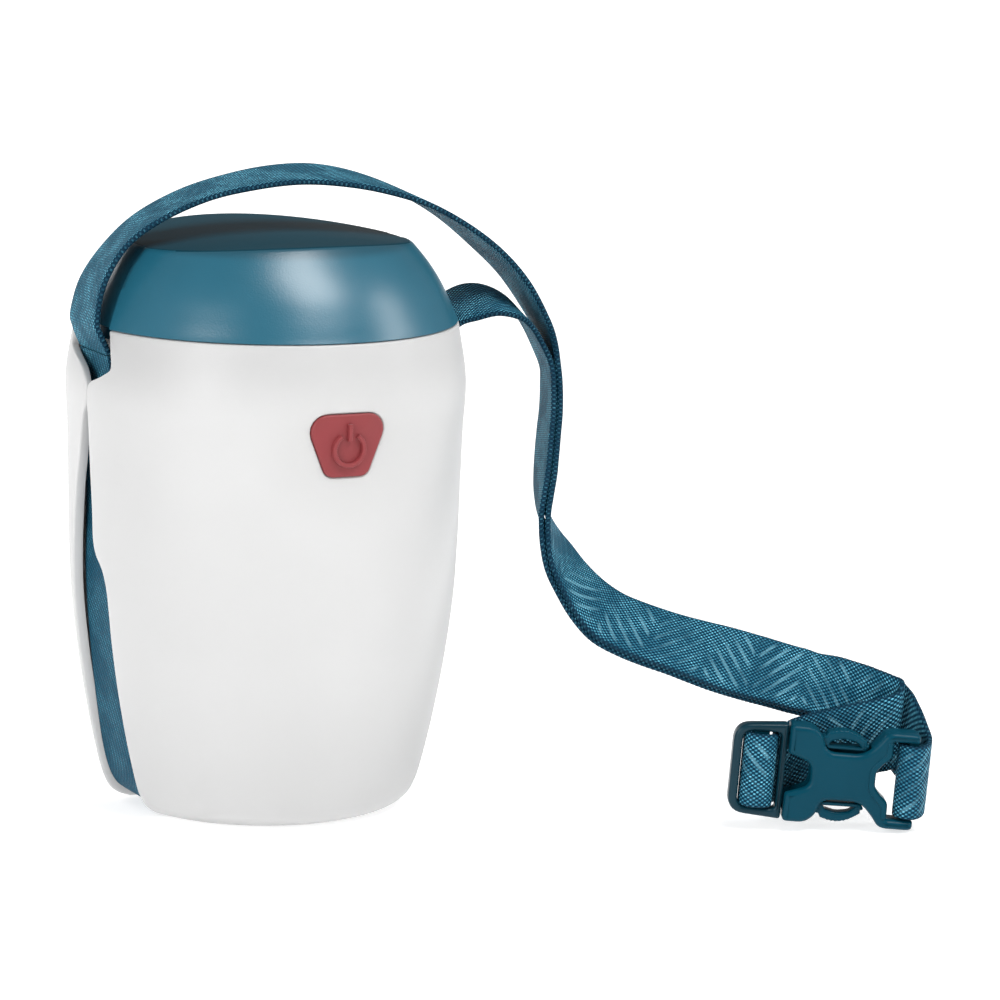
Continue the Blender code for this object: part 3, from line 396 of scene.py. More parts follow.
def cap_plastic():
    """Satin blue-green plastic, with painted shade that makes it a little darker on the arched top than on
    the flank.
    """
    make = Nodes("cap_plastic")
    place = make.place()
    height = make.split(place)["Z"]
    broad = make.noise(place, 40.0, 2.0)
    flank = make.mottle(broad, (0.010, 0.092, 0.142), (0.012, 0.099, 0.152))
    # painted shade: the arched top is mixed towards a darker blue
    top = make.spread(height, 0.1120, 0.1138, 0.0, 0.6)
    make.set(Base_Color=make.mix(top, flank, (0.004, 0.040, 0.062)),
             Roughness=make.gloss(broad, 0.29, 0.35), IOR=1.62, Specular_IOR_Level=0.5)
    make.bump(make.noise(place, 2800.0, 1.0), 0.00002)
    return make.material


def frosted_plastic():
    """Milky diffuser plastic with painted shade: a faint grey cloud round the button stands for the shadow
    of the hidden parts behind it, and the wall darkens towards the foot and in a band below the cap.
    """
    make = Nodes("frosted_shell")
    place = make.place()
    broad = make.noise(place, 25.0, 2.0)
    distance = make.add("ShaderNodeVectorMath", operation="DISTANCE")
    make.link(place, distance.inputs[0])
    distance.inputs[1].default_value = (0.0, -0.039, BUTTON_Z * MM)
    # painted shadow of the hidden parts behind the button
    cloud = make.spread(distance.outputs["Value"], 0.008, 0.020, 1.0, 0.0)
    base = make.mottle(broad, (0.525, 0.525, 0.525), (0.54, 0.54, 0.54))
    button_shadowed = make.mix(make.times(cloud, 0.30), base, (0.45, 0.45, 0.445))
    height = make.split(place)["Z"]
    # painted shade, darker towards the foot and in a band below the cap rim
    foot_shade = make.spread(height, 0.0, 0.035, 0.45, 0.0)
    brow_shade = make.spread(height, 0.082, 0.094, 0.0, 0.6)
    shaded = make.mix(make.math("ADD", foot_shade, brow_shade), button_shadowed, (0.41, 0.41, 0.41))
    make.set(Base_Color=shaded, Roughness=make.gloss(broad, 0.40, 0.47),
             Subsurface_Weight=0.35, Subsurface_Scale=0.004,
             Subsurface_Radius=(1.0, 1.0, 1.0), IOR=1.46)
    make.bump(make.noise(place, 2600.0, 1.0), 0.00001)
    return make.material


def silicone(name, colour, other):
    make = Nodes(name)
    place = make.place()
    broad = make.noise(place, 120.0, 3.0)
    make.set(Base_Color=make.mottle(broad, colour, other),
             Roughness=make.gloss(broad, 0.52, 0.62), Sheen_Weight=0.15, Sheen_Roughness=0.4)
    make.bump(make.noise(place, 3500.0, 1.0), 0.00001)
    return make.material


# Lengths of the weave's pattern in mm, measured along the webbing and across it from its middle.
THREAD_ALONG = 1.0
THREAD_ACROSS = 0.84
HATCH_GROUP = 11.0
HATCH_PERIOD = 2.4
HATCH_LEAN = (0.643, 0.766)                # lines at 50 degrees to the width
HATCH_BEGINS = (120.0, 190.0)
HATCH_SIDES = (5.2, 6.6)
SELVEDGE = (6.8, 7.4)
SELVEDGE_SHARE = 0.15                      # how much of the pale thread shows at the two edges
THREAD_DARK = (0.0008, 0.020, 0.042)
THREAD_MIDDLE = (0.003, 0.078, 0.142)
# pale thread colour, lifted to stand for the glint on the thread crossings: painted highlight
THREAD_PALE_AND_GLINT = (0.22, 0.72, 0.94)
THREAD_PRINTED = (0.24, 0.56, 0.70)


def hatch_lines(make, coordinates, across, along):
    """Groups of slanting lines, which lean the other way in every second group."""
    group = make.math("DIVIDE", along, HATCH_GROUP)
    second = make.math("FRACT", make.times(make.math("FLOOR", group), 0.5))
    sign = make.math("SUBTRACT", make.times(second, 4.0), 1.0)
    slanted = make.math("ADD", make.times(make.times(across, HATCH_LEAN[0]), sign),
                        make.times(along, HATCH_LEAN[1]))
    stripe = make.spread(make.math("SINE", make.times(slanted, 2 * math.pi / HATCH_PERIOD)), 0.45, 0.85)
    from_middle = make.math("ABSOLUTE", make.math("SUBTRACT", make.math("FRACT", group), 0.5))
    chosen = make.times(make.spread(from_middle, 0.40, 0.47, 1.0, 0.0),
                        make.spread(make.math("ABSOLUTE", across), *HATCH_SIDES, 1.0, 0.0))
    strength = make.times(make.spread(make.noise(coordinates, 0.09, 1.0), 0.44, 0.62, 0.15, 1.0),
                          make.spread(along, *HATCH_BEGINS, 0.2, 1.0))
    return make.times(make.times(stripe, chosen), strength)


def webbing(name, hatch_strength, fade):
    """Woven polyester: staggered pale thread dots, partly the weave and partly painted glint, over the
    width, with groups of slanting paler lines.

    fade is how strongly the pale threads and their painted glint show along it: from, to (mm), share
    before, share after.
    """
    make = Nodes(name)
    coordinates = make.add("ShaderNodeUVMap", uv_map="weave").outputs["UV"]
    parts = make.split(coordinates)
    across, along = parts["X"], parts["Y"]
    weave = make.times(make.math("COSINE", make.times(across, 2 * math.pi / THREAD_ACROSS)),
                       make.math("COSINE", make.times(along, 2 * math.pi / THREAD_ALONG)))
    patchy = make.noise(coordinates, 1.1, 3.0, 0.6)
    # painted highlight: patchy noise that dims and brightens the glint on the pale threads
    patchy_glint = make.times(make.spread(patchy, 0.38, 0.70, 0.40, 1.0),
                      make.spread(make.noise(coordinates, 0.13, 2.0), 0.40, 0.60, 0.35, 1.0))
    inner = make.spread(make.math("ABSOLUTE", across), *SELVEDGE, 1.0, SELVEDGE_SHARE)
    pale_dots_and_glint = make.times(make.times(make.times(make.spread(weave, 0.10, 0.75), patchy_glint), inner),
                       make.spread(along, *fade))
    ground = make.mix(make.times(make.spread(weave, -0.7, 0.3), inner), THREAD_DARK, THREAD_MIDDLE)
    woven = make.mix(pale_dots_and_glint, ground, THREAD_PALE_AND_GLINT)
    lines = hatch_lines(make, coordinates, across, along)
    make.set(Base_Color=make.mix(make.times(lines, hatch_strength), woven, THREAD_PRINTED),
             Roughness=make.gloss(patchy, 0.50, 0.68), Specular_IOR_Level=0.1)
    make.bump(weave, 0.00018)
    return make.material


def speckled(name, colour, roughness, metallic=0.0):
    """Plain finish for small parts, with fine mottling in colour and gloss."""
    make = Nodes(name)
    place = make.place()
    fine = make.noise(place, 900.0, 3.0)
    darker = tuple(c * 0.82 for c in colour)
    make.set(Base_Color=make.mottle(fine, darker, colour),
             Roughness=make.gloss(fine, roughness - 0.05, roughness + 0.05), Metallic=metallic)
    make.bump(fine, 0.00001)
    return make.material


MATERIALS = {
    "frosted_shell": frosted_plastic(),
    "cap_plastic": cap_plastic(),
    # a darker, less reflective copy of the cap plastic for the flat top faces: painted shade on the arched
    # top
    "cap_crown_painted_shade": grained_plastic("cap_crown_painted_shade", (0.003, 0.034, 0.052), (0.004, 0.040, 0.060), 0.42,
                                 IOR=1.30, Specular_IOR_Level=0.25),
    "silicone_red": silicone("silicone_red", (0.196, 0.019, 0.022), (0.210, 0.021, 0.025)),
    "silicone_white": silicone("silicone_white", (0.74, 0.745, 0.75), (0.77, 0.775, 0.78)),
    "core_plastic": grained_plastic("core_plastic", (0.82, 0.82, 0.81), (0.85, 0.85, 0.84), 0.5),
    "buckle_plastic": grained_plastic("buckle_plastic", (0.0005, 0.042, 0.069), (0.001, 0.047, 0.076),
                                      0.30, grain=0.0005, height=0.000012, Specular_IOR_Level=0.1),
    # a darker copy of the buckle plastic for the male frame: painted shade
    "buckle_painted_shade": grained_plastic("buckle_painted_shade", (0.002, 0.024, 0.038), (0.003, 0.028, 0.043), 0.32,
                                    grain=0.0005, height=0.000012, Specular_IOR_Level=0.2),
    # the fade numbers set how strongly the painted glint on the pale threads shows along each strap
    "webbing": webbing("webbing", 0.36, (100.0, 170.0, 1.3, 0.95)),
    "webbing_run": webbing("webbing_run", 0.0, (7.0, 20.0, 1.3, 0.55)),
    "circuit_board": speckled("circuit_board", (0.02, 0.16, 0.06), 0.45),
    "led": speckled("led", (0.9, 0.8, 0.45), 0.3),
    "cell_wrap": speckled("cell_wrap", (0.05, 0.14, 0.45), 0.35),
    "steel": speckled("steel", (0.55, 0.56, 0.58), 0.3, metallic=1.0),
    "switch_plastic": speckled("switch_plastic", (0.03, 0.03, 0.035), 0.5),
    "seal_rubber": speckled("seal_rubber", (0.04, 0.04, 0.045), 0.7),
}


# ---- body shells ----
SHELL_WALL = 2.0
SHELL_RIM_WALL = 1.3
SHELL_EDGE_ROUND = 0.45
SHELL_LIP_ROUND = 0.4
SHELL_TOP_Z = 97.4
SHELL_COLUMNS = 96
SCREW_HOLE = ((0.2, -1.0), (3.0, -1.0), (3.0, 0.0), (2.7, 0.3), (2.7, 1.3), (1.4, 1.3), (1.4, 4.0),
              (0.2, 4.0))                  # radius, height


def shell_rows():
    """(outer r, outer z, inner r, inner z, edge height) from the middle of the base to the top rim."""
    rows = [(r, 0.0, r, SHELL_WALL, 0.0) for r in (9.6, 11.0, 13.0, 16.0, 19.0, 22.0, 24.5, 25.6)]
    profile = smooth_curve([(r, z) for z, r in BODY_PROFILE[:4]], 6)[:-1]
    slopes = np.gradient(profile, axis=0)
    for (r, z), (dr, dz) in zip(profile, slopes):
        length = math.hypot(dr, dz)
        rows.append((r, max(z, 0.0), r - SHELL_WALL * dz / length, z + SHELL_WALL * dr / length, z))
    bands = ((5.0, 86.0, 1.1), (86.0, 93.5, 0.28), (93.6, 97.0, 0.6))
    for z in np.concatenate([np.arange(*band) for band in bands]):
        wall = float(np.interp(z, (78.0, 85.0), (SHELL_WALL, SHELL_RIM_WALL)))
        rows.append((body_radius(z), z, body_radius(z) - wall, z, z))
    for angle in (0.0, 30.0, 60.0, 90.0):
        back = SHELL_LIP_ROUND * (1.0 - math.cos(math.radians(angle)))
        z = SHELL_TOP_Z - SHELL_LIP_ROUND * (1.0 - math.sin(math.radians(angle)))
        rows.append((body_radius(z) - back, z, body_radius(z) - SHELL_RIM_WALL, z, z))
    return rows


def shell_columns(arc):
    """(distance from the left end, depth below the surface) along one row of the given length."""
    f = SHELL_EDGE_ROUND
    corner = [(f * (1 - math.cos(a)), f * (1 - math.sin(a))) for a in np.radians((0.0, 30.0, 60.0, 90.0))]
    inside = [(s, 0.0) for s in np.linspace(f, arc - f, SHELL_COLUMNS)[1:-1]]
    return corner + inside + [(arc - s, d) for s, d in reversed(corner)]


def half_shell(name):
    """The shell on the -Y side; the other one is the same shape turned half round."""
    vertices = []
    rows = []
    for r, z, inner_r, inner_z, edge_z in shell_rows():
        front = float(np.interp(edge_z, *FRONT_TABLE))
        rear = float(np.interp(edge_z, *REAR_TABLE))
        left = -math.acos(-front / r)
        right = math.acos(rear / r)
        toward = np.array((inner_r - r, inner_z - z))
        toward /= np.linalg.norm(toward)
        columns = shell_columns((right - left) * r)
        start = len(vertices)
        for s, depth in columns:
            angle = left + s / r
            radius, height = r + toward[0] * depth, z + toward[1] * depth
            vertices.append((radius * math.sin(angle), -radius * math.cos(angle), height))
        for s, _ in reversed(columns):
            angle = left + s / r
            vertices.append((inner_r * math.sin(angle), -inner_r * math.cos(angle), inner_z))
        rows.append(list(range(start, len(vertices))))
    faces = strip(rows, closed_rows=True)
    for row in (rows[0], rows[-1]):
        count = len(row) // 2
        for k in range(count - 1):
            faces.append((row[k], row[k + 1], row[-2 - k], row[-1 - k]))
    return put(name, vertices, faces, [MATERIALS["frosted_shell"]])


def screw_cutter(x, y):
    """A stepped plug for one base screw's head and shank."""
    turns = np.linspace(0.0, 2 * math.pi, 32, endpoint=False)
    rings = [[(x + radius * math.cos(a), y + radius * math.sin(a), z) for a in turns]
             for radius, z in SCREW_HOLE]
    return put("screw_cutter", *skin(rings), [])


def box_cutter(low, high):
    corners = ((low[0], low[1]), (high[0], low[1]), (high[0], high[1]), (low[0], high[1]))
    vertices = [(x, y, z) for z in (low[2], high[2]) for x, y in corners]
    faces = [(0, 1, 2, 3), (4, 5, 6, 7), (0, 1, 5, 4), (1, 2, 6, 5), (2, 3, 7, 6), (3, 0, 4, 7)]
    return put("box_cutter", vertices, faces, [])


def make_shells():
    front = half_shell("shell_front")
    rear = half_shell("shell_rear")
    rear.data.transform(Matrix.Rotation(math.pi, 4, "Z"))
    for angle in BASE_SCREW_ANGLES:
        x = BASE_SCREW_RING * math.cos(math.radians(angle))
        y = BASE_SCREW_RING * math.sin(math.radians(angle))
        cut(front if y < 0 else rear, screw_cutter(x, y))
    hole = [(BUTTON_GAP + growth, 1, height) for growth, height in
            ((0.5, 1.0), (0.34, 0.04), (0.12, -0.12), (0.0, -0.4), (0.0, -4.0))]
    cut(front, patch("hole", BUTTON_CORNERS, BUTTON_Z, hole, -1, []))
    pocket = [(FLAP_GAP + growth, 1, height) for growth, height in
              ((0.5, 1.0), (0.3, 0.03), (0.1, -0.1), (0.0, -0.35))]
    pocket += [(FLAP_GAP, scale, -1.8) for scale in (1.0, 0.95, 0.8, 0.6, 0.4, 0.2, 0.02)]
    cut(rear, patch("pocket", FLAP_CORNERS, FLAP_Z, pocket, 1, []))
    cut(rear, box_cutter((-SOCKET_HALF[0], 20.0, FLAP_Z - SOCKET_HALF[1]),
                         (SOCKET_HALF[0], 50.0, FLAP_Z + SOCKET_HALF[1])))
    for piece, node in ((front, "front_diffuser"), (rear, "rear_diffuser")):
        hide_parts(node)
        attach(piece, LANTERN)


# ---- cap ----
CAP_EDGE_ROUND = 0.7
CAP_BAND = 0.5
# height above which the flat top faces take the darker material: painted shade
SHADED_CROWN_FROM_Z = 112.3
CAP_LIP_ROUND = 0.35
CAP_INSIDE = ((0.02, 112.0), (27.0, 112.0), (32.0, 104.0), (34.0, 99.0), (34.0, 95.0), (35.4, 95.0),
              (35.4, 97.8))                # radius, height


def arch_height(x):
    return CAP_CROWN_Z - CAP_ARCH_DROP * (x / CAP_ARCH_HALF) ** 2


def cap_columns(radius, z):
    """(angle from -X, share of the flank hollow's depth) right round the cap."""
    half = float(np.interp(z, *zip(*CAP_RECESS_HALF)))
    edge = math.asin(half / radius)
    band = CAP_BAND / radius
    hollow = [(edge * t, 1.0) for t in np.linspace(-1.0, 1.0, 15)]
    step = [(edge + band * t, 1.0 - t * t * (3 - 2 * t)) for t in (0.25, 0.5, 0.75, 1.0)]
    arc = [(edge + band + (math.pi - 2 * (edge + band)) * t, 0.0)
           for t in np.linspace(0.0, 1.0, 82)[1:-1]]
    quarter = hollow + step + arc + [(math.pi - a, d) for a, d in reversed(step)]
    return quarter + [(a + math.pi, d) for a, d in quarter]


def cap_point(angle, radius, z):
    return (-radius * math.cos(angle), -radius * math.sin(angle), z)


def wall_radius(z, share):
    return float(np.interp(z, *CAP_TABLE)) - share * float(np.interp(z, *zip(*CAP_RECESS_DEPTH)))


def crease(angle, share):
    """(radius, height) where the turned wall meets the arched top at one angle."""
    z = 113.0
    for _ in range(12):
        radius = wall_radius(z, share)
        z = arch_height(radius * math.cos(angle))
    return radius, z


def cap_wall_rings(first, low):
    """The inside of the cap, its rounded lip and the turned wall, from the columns at the lip."""
    rings = [[cap_point(a, radius, z) for a, _ in first] for radius, z in CAP_INSIDE]
    for angle in (90.0, 60.0, 30.0):
        back = CAP_LIP_ROUND * (1 - math.cos(math.radians(angle)))
        rise = CAP_LIP_ROUND * (1 - math.sin(math.radians(angle)))
        rings.append([cap_point(a, wall_radius(low, d) - back, low + rise) for a, d in first])
    for share in np.linspace(0.03, 1.0, 30):
        ring = []
        for k, (a, d) in enumerate(first):
            top = crease(a, d)[1] - CAP_EDGE_ROUND
            z = low + CAP_LIP_ROUND + (top - low - CAP_LIP_ROUND) * share
            angle, depth = cap_columns(wall_radius(z, 0.0), z)[k]
            ring.append(cap_point(angle, wall_radius(z, depth), z))
        rings.append(ring)
    return rings


def cap_top_rings(first):
    """The rounded edge where the wall meets the arch, and the arched top to its middle."""
    last = []
    for k, (a, d) in enumerate(first):
        z = crease(a, d)[1]
        last.append(cap_columns(wall_radius(z, 0.0), z)[k])
    corner = [crease(a, d) for a, d in last]
    rings = []
    for t in (0.15, 0.3, 0.5, 0.7, 0.85, 1.0):
        ring = []
        for (a, d), (radius, z) in zip(last, corner):
            start = np.array((wall_radius(z - CAP_EDGE_ROUND, d), z - CAP_EDGE_ROUND))
            end_radius = radius - CAP_EDGE_ROUND
            end = np.array((end_radius, arch_height(end_radius * math.cos(a))))
            r, height = (1 - t) ** 2 * start + 2 * t * (1 - t) * np.array((radius, z)) + t * t * end
            ring.append(cap_point(a, r, height))
        rings.append(ring)
    for share in (0.96, 0.9, 0.8, 0.7, 0.6, 0.5, 0.4, 0.3, 0.2, 0.1, 0.001):
        reach = [(a, (radius - CAP_EDGE_ROUND) * share) for (a, _), (radius, _) in zip(last, corner)]
        rings.append([cap_point(a, r, arch_height(r * math.cos(a))) for a, r in reach])
    return rings


def make_cap():
    low = CAP_PROFILE[0][0]
    first = cap_columns(wall_radius(low, 0.0), low)
    rings = cap_wall_rings(first, low) + cap_top_rings(first)
    cap = put("cap", *skin(rings), [MATERIALS["cap_plastic"], MATERIALS["cap_crown_painted_shade"]], sharp=50.0)
    # the flat faces of the arched top take the second, darker material: painted shade
    for face in cap.data.polygons:
        if face.center.z > SHADED_CROWN_FROM_Z * MM and face.normal.z > 0.9:
            face.material_index = 1
    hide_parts("top_cap")
    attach(cap, LANTERN)


# ---- power button ----
SYMBOL_Z = 77.3
SYMBOL_RADIUS = 3.1
SYMBOL_WIDTH = 0.8
SYMBOL_HEIGHT = 0.8


def raised_line(path, width, low, high):
    """Vertices and faces of a rounded bead along (x, z) points on the button's face."""
    path = np.array(path, dtype=float)
    along = np.gradient(path, axis=0)
    along /= np.linalg.norm(along, axis=1)[:, None]
    section = ((-1.0, low), (-1.0, high - 0.10), (-0.88, high - 0.02), (-0.72, high),
               (0.72, high), (0.88, high - 0.02), (1.0, high - 0.10), (1.0, low))
    rings = []
    for (x, z), (dx, dz) in zip(path, along):
        ring = []
        for side, height in section:
            px = x - dz * side * width / 2
            pz = z + dx * side * width / 2
            radius = body_radius(pz) + height
            ring.append((px, -math.sqrt(radius * radius - px * px), pz))
        rings.append(ring)
    return skin(rings)


def make_button():
    """The red pad with its flange behind the shell, and the power symbol raised on its face."""
    rings = [(0, 0.02, -2.9), (0, 0.9, -2.9), (0.9, 1, -2.9), (1.1, 1, -2.8), (1.1, 1, -2.4),
             (0, 1, -2.35), (0, 1, 0.0)]
    rings += [(-growth, 1, BUTTON_PROUD - drop) for growth, drop in
              ((0.05, 0.22), (0.16, 0.08), (0.34, 0.01), (0.55, 0.0))]
    rings += [(-0.55, scale, BUTTON_PROUD) for scale in (0.95, 0.85, 0.7, 0.5, 0.3, 0.02)]
    button = patch("power_button_pad", BUTTON_CORNERS, BUTTON_Z, rings, -1, [MATERIALS["silicone_red"]])
    low, high = BUTTON_PROUD - 0.1, BUTTON_PROUD + SYMBOL_HEIGHT
    arc = [(SYMBOL_RADIUS * math.sin(a), SYMBOL_Z + SYMBOL_RADIUS * math.cos(a))
           for a in np.radians(np.linspace(34.0, 326.0, 56))]
    bar = [(0.0, SYMBOL_Z + offset) for offset in np.linspace(1.7, 5.0, 10)]
    for name, path in (("power_symbol_ring", arc), ("power_symbol_bar", bar)):
        vertices, faces = raised_line(path, SYMBOL_WIDTH, low, high)
        bead = put(name, vertices, faces, [MATERIALS["silicone_red"]])
        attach(bead, "button")
    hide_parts("power_button")
    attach(button, "button")


def make_flap():
    rings = [(0, 0.02, -1.5), (0, 0.9, -1.5), (-0.2, 1, -1.5), (0, 1, -1.3), (0, 1, -0.15),
             (-0.06, 1, 0.02), (-0.2, 1, 0.12), (-0.4, 1, 0.15)]
    rings += [(-0.4, scale, 0.15) for scale in (0.92, 0.8, 0.6, 0.4, 0.2, 0.02)]
    flap = patch("socket_flap", FLAP_CORNERS, FLAP_Z, rings, 1, [MATERIALS["silicone_white"]])
    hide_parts("charge_flap")
    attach(flap, "flap")


# ---- strap ----
STRAP_STEP = 0.5
SELVEDGE_NOTCH = 0.06
PATH_STRIDE = 4                            # every fourth row is enough for a cord's path


def smooth_path(points, count):
    """Points spread evenly by length along the Catmull-Rom curve through the given rows."""
    rows = np.array(points, dtype=float)
    rows = np.vstack([2 * rows[0] - rows[1], rows, 2 * rows[-1] - rows[-2]])
    dense = []
    for p0, p1, p2, p3 in zip(rows, rows[1:], rows[2:], rows[3:]):
        for t in np.linspace(0.0, 1.0, 16, endpoint=False):
            dense.append(0.5 * (2 * p1 + (p2 - p0) * t + (2 * p0 - 5 * p1 + 4 * p2 - p3) * t ** 2
                                + (3 * p1 - p0 - 3 * p2 + p3) * t ** 3))
    dense.append(rows[-2])
    dense = np.array(dense)
    steps = np.linalg.norm(np.diff(dense[:, :3], axis=0), axis=1)
    length = np.concatenate([[0.0], np.cumsum(steps)])
    if count is None:
        count = int(length[-1] / STRAP_STEP)
    wanted = np.linspace(0.0, length[-1], count)
    return np.column_stack([np.interp(wanted, length, dense[:, k]) for k in range(dense.shape[1])])


def strap_frames(rows):
    """Centres, width directions, face directions and half widths along rows of six numbers."""
    centres = rows[:, :3]
    tangents = np.gradient(centres, axis=0)
    tangents /= np.linalg.norm(tangents, axis=1)[:, None]
    across = rows[:, 3:] / np.linalg.norm(rows[:, 3:], axis=1)[:, None]
    facing = np.cross(across, tangents)
    squareness = np.linalg.norm(facing, axis=1)
    return centres, across, facing / squareness[:, None], STRAP_WIDTH / 2 / squareness


def offset_rows(rows, distance):
    centres, _, facing, _ = strap_frames(rows)
    return np.column_stack([centres + facing * distance, rows[:, 3:]])


def flat_rows(route):
    return [tuple(point) + tuple(width) for point, width in route]


def buckle_axes():
    yaw = math.radians(BUCKLE_YAW)
    roll = math.radians(BUCKLE_ROLL)
    right = Vector((math.cos(yaw), -math.sin(yaw), 0.0))
    up = Vector((0.0, 0.0, 1.0))
    front = Vector((-math.sin(yaw), -math.cos(yaw), 0.0))
    along = right * math.cos(roll) - up * math.sin(roll)
    across = right * math.sin(roll) + up * math.cos(roll)
    return along, across, front


def buckle_direction(a, b, c):
    along, across, front = buckle_axes()
    return along * a + across * b + front * c


def buckle_place(a, b, c):
    return Vector(BUCKLE_ORIGIN) + buckle_direction(a, b, c)


def buckle_rows(route):
    return [tuple(buckle_place(*point)) + tuple(buckle_direction(*width)) for point, width in route]


def strap_section():
    """(u, v) round the webbing's cross-section: u and v as shares of the half width and thickness."""
    top = [(u, 1.0 - 0.12 * abs(u) ** 8) for u in np.linspace(-0.955, 0.955, 15)]
    edge = [(0.985, 0.62), (1.0, 0.25), (1.0, -0.25), (0.985, -0.62)]
    bottom = [(u, -v) for u, v in reversed(top)]
    return top + edge + bottom + [(-u, -v) for u, v in edge]


def webbing_piece(name, rows, material):
    """Webbing with a slightly notched selvedge along rows of six numbers."""
    section = strap_section()
    rings = []
    uvs = []
    length = 0.0
    previous = None
    for k, (centre, width, normal, half) in enumerate(zip(*strap_frames(rows))):
        if previous is not None:
            length += float(np.linalg.norm(centre - previous))
        previous = centre
        notch = SELVEDGE_NOTCH if k % 2 else 0.0
        ring = []
        for u, v in section:
            reach = half - notch if abs(u) > 0.97 else half
            ring.append(centre + width * u * reach + normal * v * STRAP_THICKNESS / 2)
            uvs.append((u * STRAP_WIDTH / 2, length))
        rings.append(ring)
    return put(name, *skin(rings), [MATERIALS[material]], sharp=60.0, uvs=uvs), length


def make_straps():
    """The three webbing pieces: name to (piece, length in mm, middle line in m)."""
    left = flat_rows(BODY_RUN_LEFT)
    right = [(-x, y, z, wx, wy, wz) for x, y, z, wx, wy, wz in reversed(left)]
    pair = smooth_path(flat_rows(PAIR_ROUTE), 22)
    outer = [tuple(row) for row in offset_rows(pair, PAIR_HALF_SPACING)]
    inner = [tuple(row) for row in offset_rows(pair, -PAIR_HALF_SPACING)]
    arch = flat_rows(ARCH_ROUTE) + outer + buckle_rows(ARCH_END_ROUTE)
    short = flat_rows(SHORT_ROUTE) + inner + buckle_rows(SHORT_END_ROUTE)
    plan = (("webbing_body_run", "strap_body_run", left + right, "webbing_run"),
            ("webbing_arch_leg", "strap_arch_leg", arch, "webbing"),
            ("webbing_short_leg", "strap_short_leg", short, "webbing"))
    made = {}
    for name, node, route, material in plan:
        rows = smooth_path(route, None)
        piece, length = webbing_piece(name, rows, material)
        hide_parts(node)
        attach(piece, LANTERN)
        path = [tuple(row[:3] * MM) for row in (*rows[::PATH_STRIDE], rows[-1])]
        made[name] = (piece, length, path)
    return made


# ---- buckle: outlines in its own (a, b) plane, with the radius of each corner ----
FEMALE_HALF = (
    (16.1, 7.9, 0.4), (16.1, 9.8, 1.5), (9.4, 9.8, 1.6), (7.9, 7.6, 1.5), (5.7, 5.3, 1.5), (4.0, 4.8, 1.0),
    (-1.3, 4.8, 1.2), (-2.6, 5.6, 0.8), (-3.4, 8.1, 1.6), (-5.4, 9.8, 1.6), (-9.9, 9.8, 0.9),
    (-9.9, 4.0, 0.5), (-7.2, 3.1, 0.8), (-5.6, 2.4, 0.8), (-5.1, 1.2, 0.8))
FEMALE_MOUTH_HALF = ((7.9, 1.5, 0.6), (9.2, 3.2, 1.0), (10.8, 4.5, 0.8), (10.8, 7.9, 0.5))
FEMALE_RIM_HALF = (
    (6.5, 2.0, 0.8), (8.1, 4.1, 1.0), (9.5, 5.3, 0.8), (9.5, 7.7, 0.3), (10.5, 7.7, 0.3), (10.5, 4.7, 0.6),
    (9.0, 3.4, 0.8), (7.6, 1.6, 0.5))
MALE_HALF = ((-10.2, 9.7, 0.7), (-20.9, 8.9, 3.4))
MALE_HOLE_HALF = ((-11.4, 7.8, 1.0), (-19.1, 7.6, 1.8))
ARM_BACK = (
    (6.4, 6.6, 0.8), (5.6, 5.4, 0.6), (-8.9, 5.6, 0.5), (-9.7, 6.5, 0.5), (-8.9, 7.4, 0.5),
    (-4.0, 7.4, 0.8), (-2.9, 8.0, 0.5))
ARM_GRIP = ((-2.3, 8.7), (-0.7, 9.15), (1.0, 9.3), (2.8, 8.95), (4.4, 8.15), (5.6, 7.35))
ARM_SLIT = ((-1.9, 6.1, 0.2), (-1.5, 6.9, 0.4), (0.9, 7.5, 0.8), (3.4, 7.1, 0.6), (4.6, 6.1, 0.2))
GRIP_FROM, GRIP_TO = -1.6, 5.0
GRIP_STEP = 0.85
GRIP_HEIGHT = 0.05
BEVEL_TURNS = (0.0, 22.5, 45.0, 67.5, 90.0)


def rounded_loop(corners, steps=5):
    """A closed loop with its corners rounded; corners are (a, b, radius)."""
    loop = []
    count = len(corners)
    for k in range(count):
        here = Vector(corners[k][:2])
        towards = [Vector(corners[i % count][:2]) - here for i in (k - 1, k + 1)]
        reach = [min(corners[k][2], 0.45 * side.length) for side in towards]
        start, end = (here + side.normalized() * r for side, r in zip(towards, reach))
        if max(reach) < 0.05:
            loop.append(tuple(here))
            continue
        for t in np.linspace(0.0, 1.0, steps):
            loop.append(tuple(start * (1 - t) ** 2 + here * 2 * t * (1 - t) + end * t * t))
    return loop


def inset(loop, amount):
    """The loop moved to its left side by amount."""
    points = np.array(loop)
    edges = np.roll(points, -1, axis=0) - points
    lengths = np.linalg.norm(edges, axis=1)[:, None]
    lefts = np.column_stack([-edges[:, 1], edges[:, 0]]) / lengths
    normals = lefts + np.roll(lefts, 1, axis=0)
    normals /= np.maximum(np.sum(normals * lefts, axis=1), 0.5)[:, None]
    return [tuple(point) for point in points + normals * amount]


def wound(loop, anticlockwise):
    area = sum(p[0] * q[1] - q[0] * p[1] for p, q in zip(loop, loop[1:] + loop[:1]))
    return loop if (area > 0) == anticlockwise else loop[::-1]


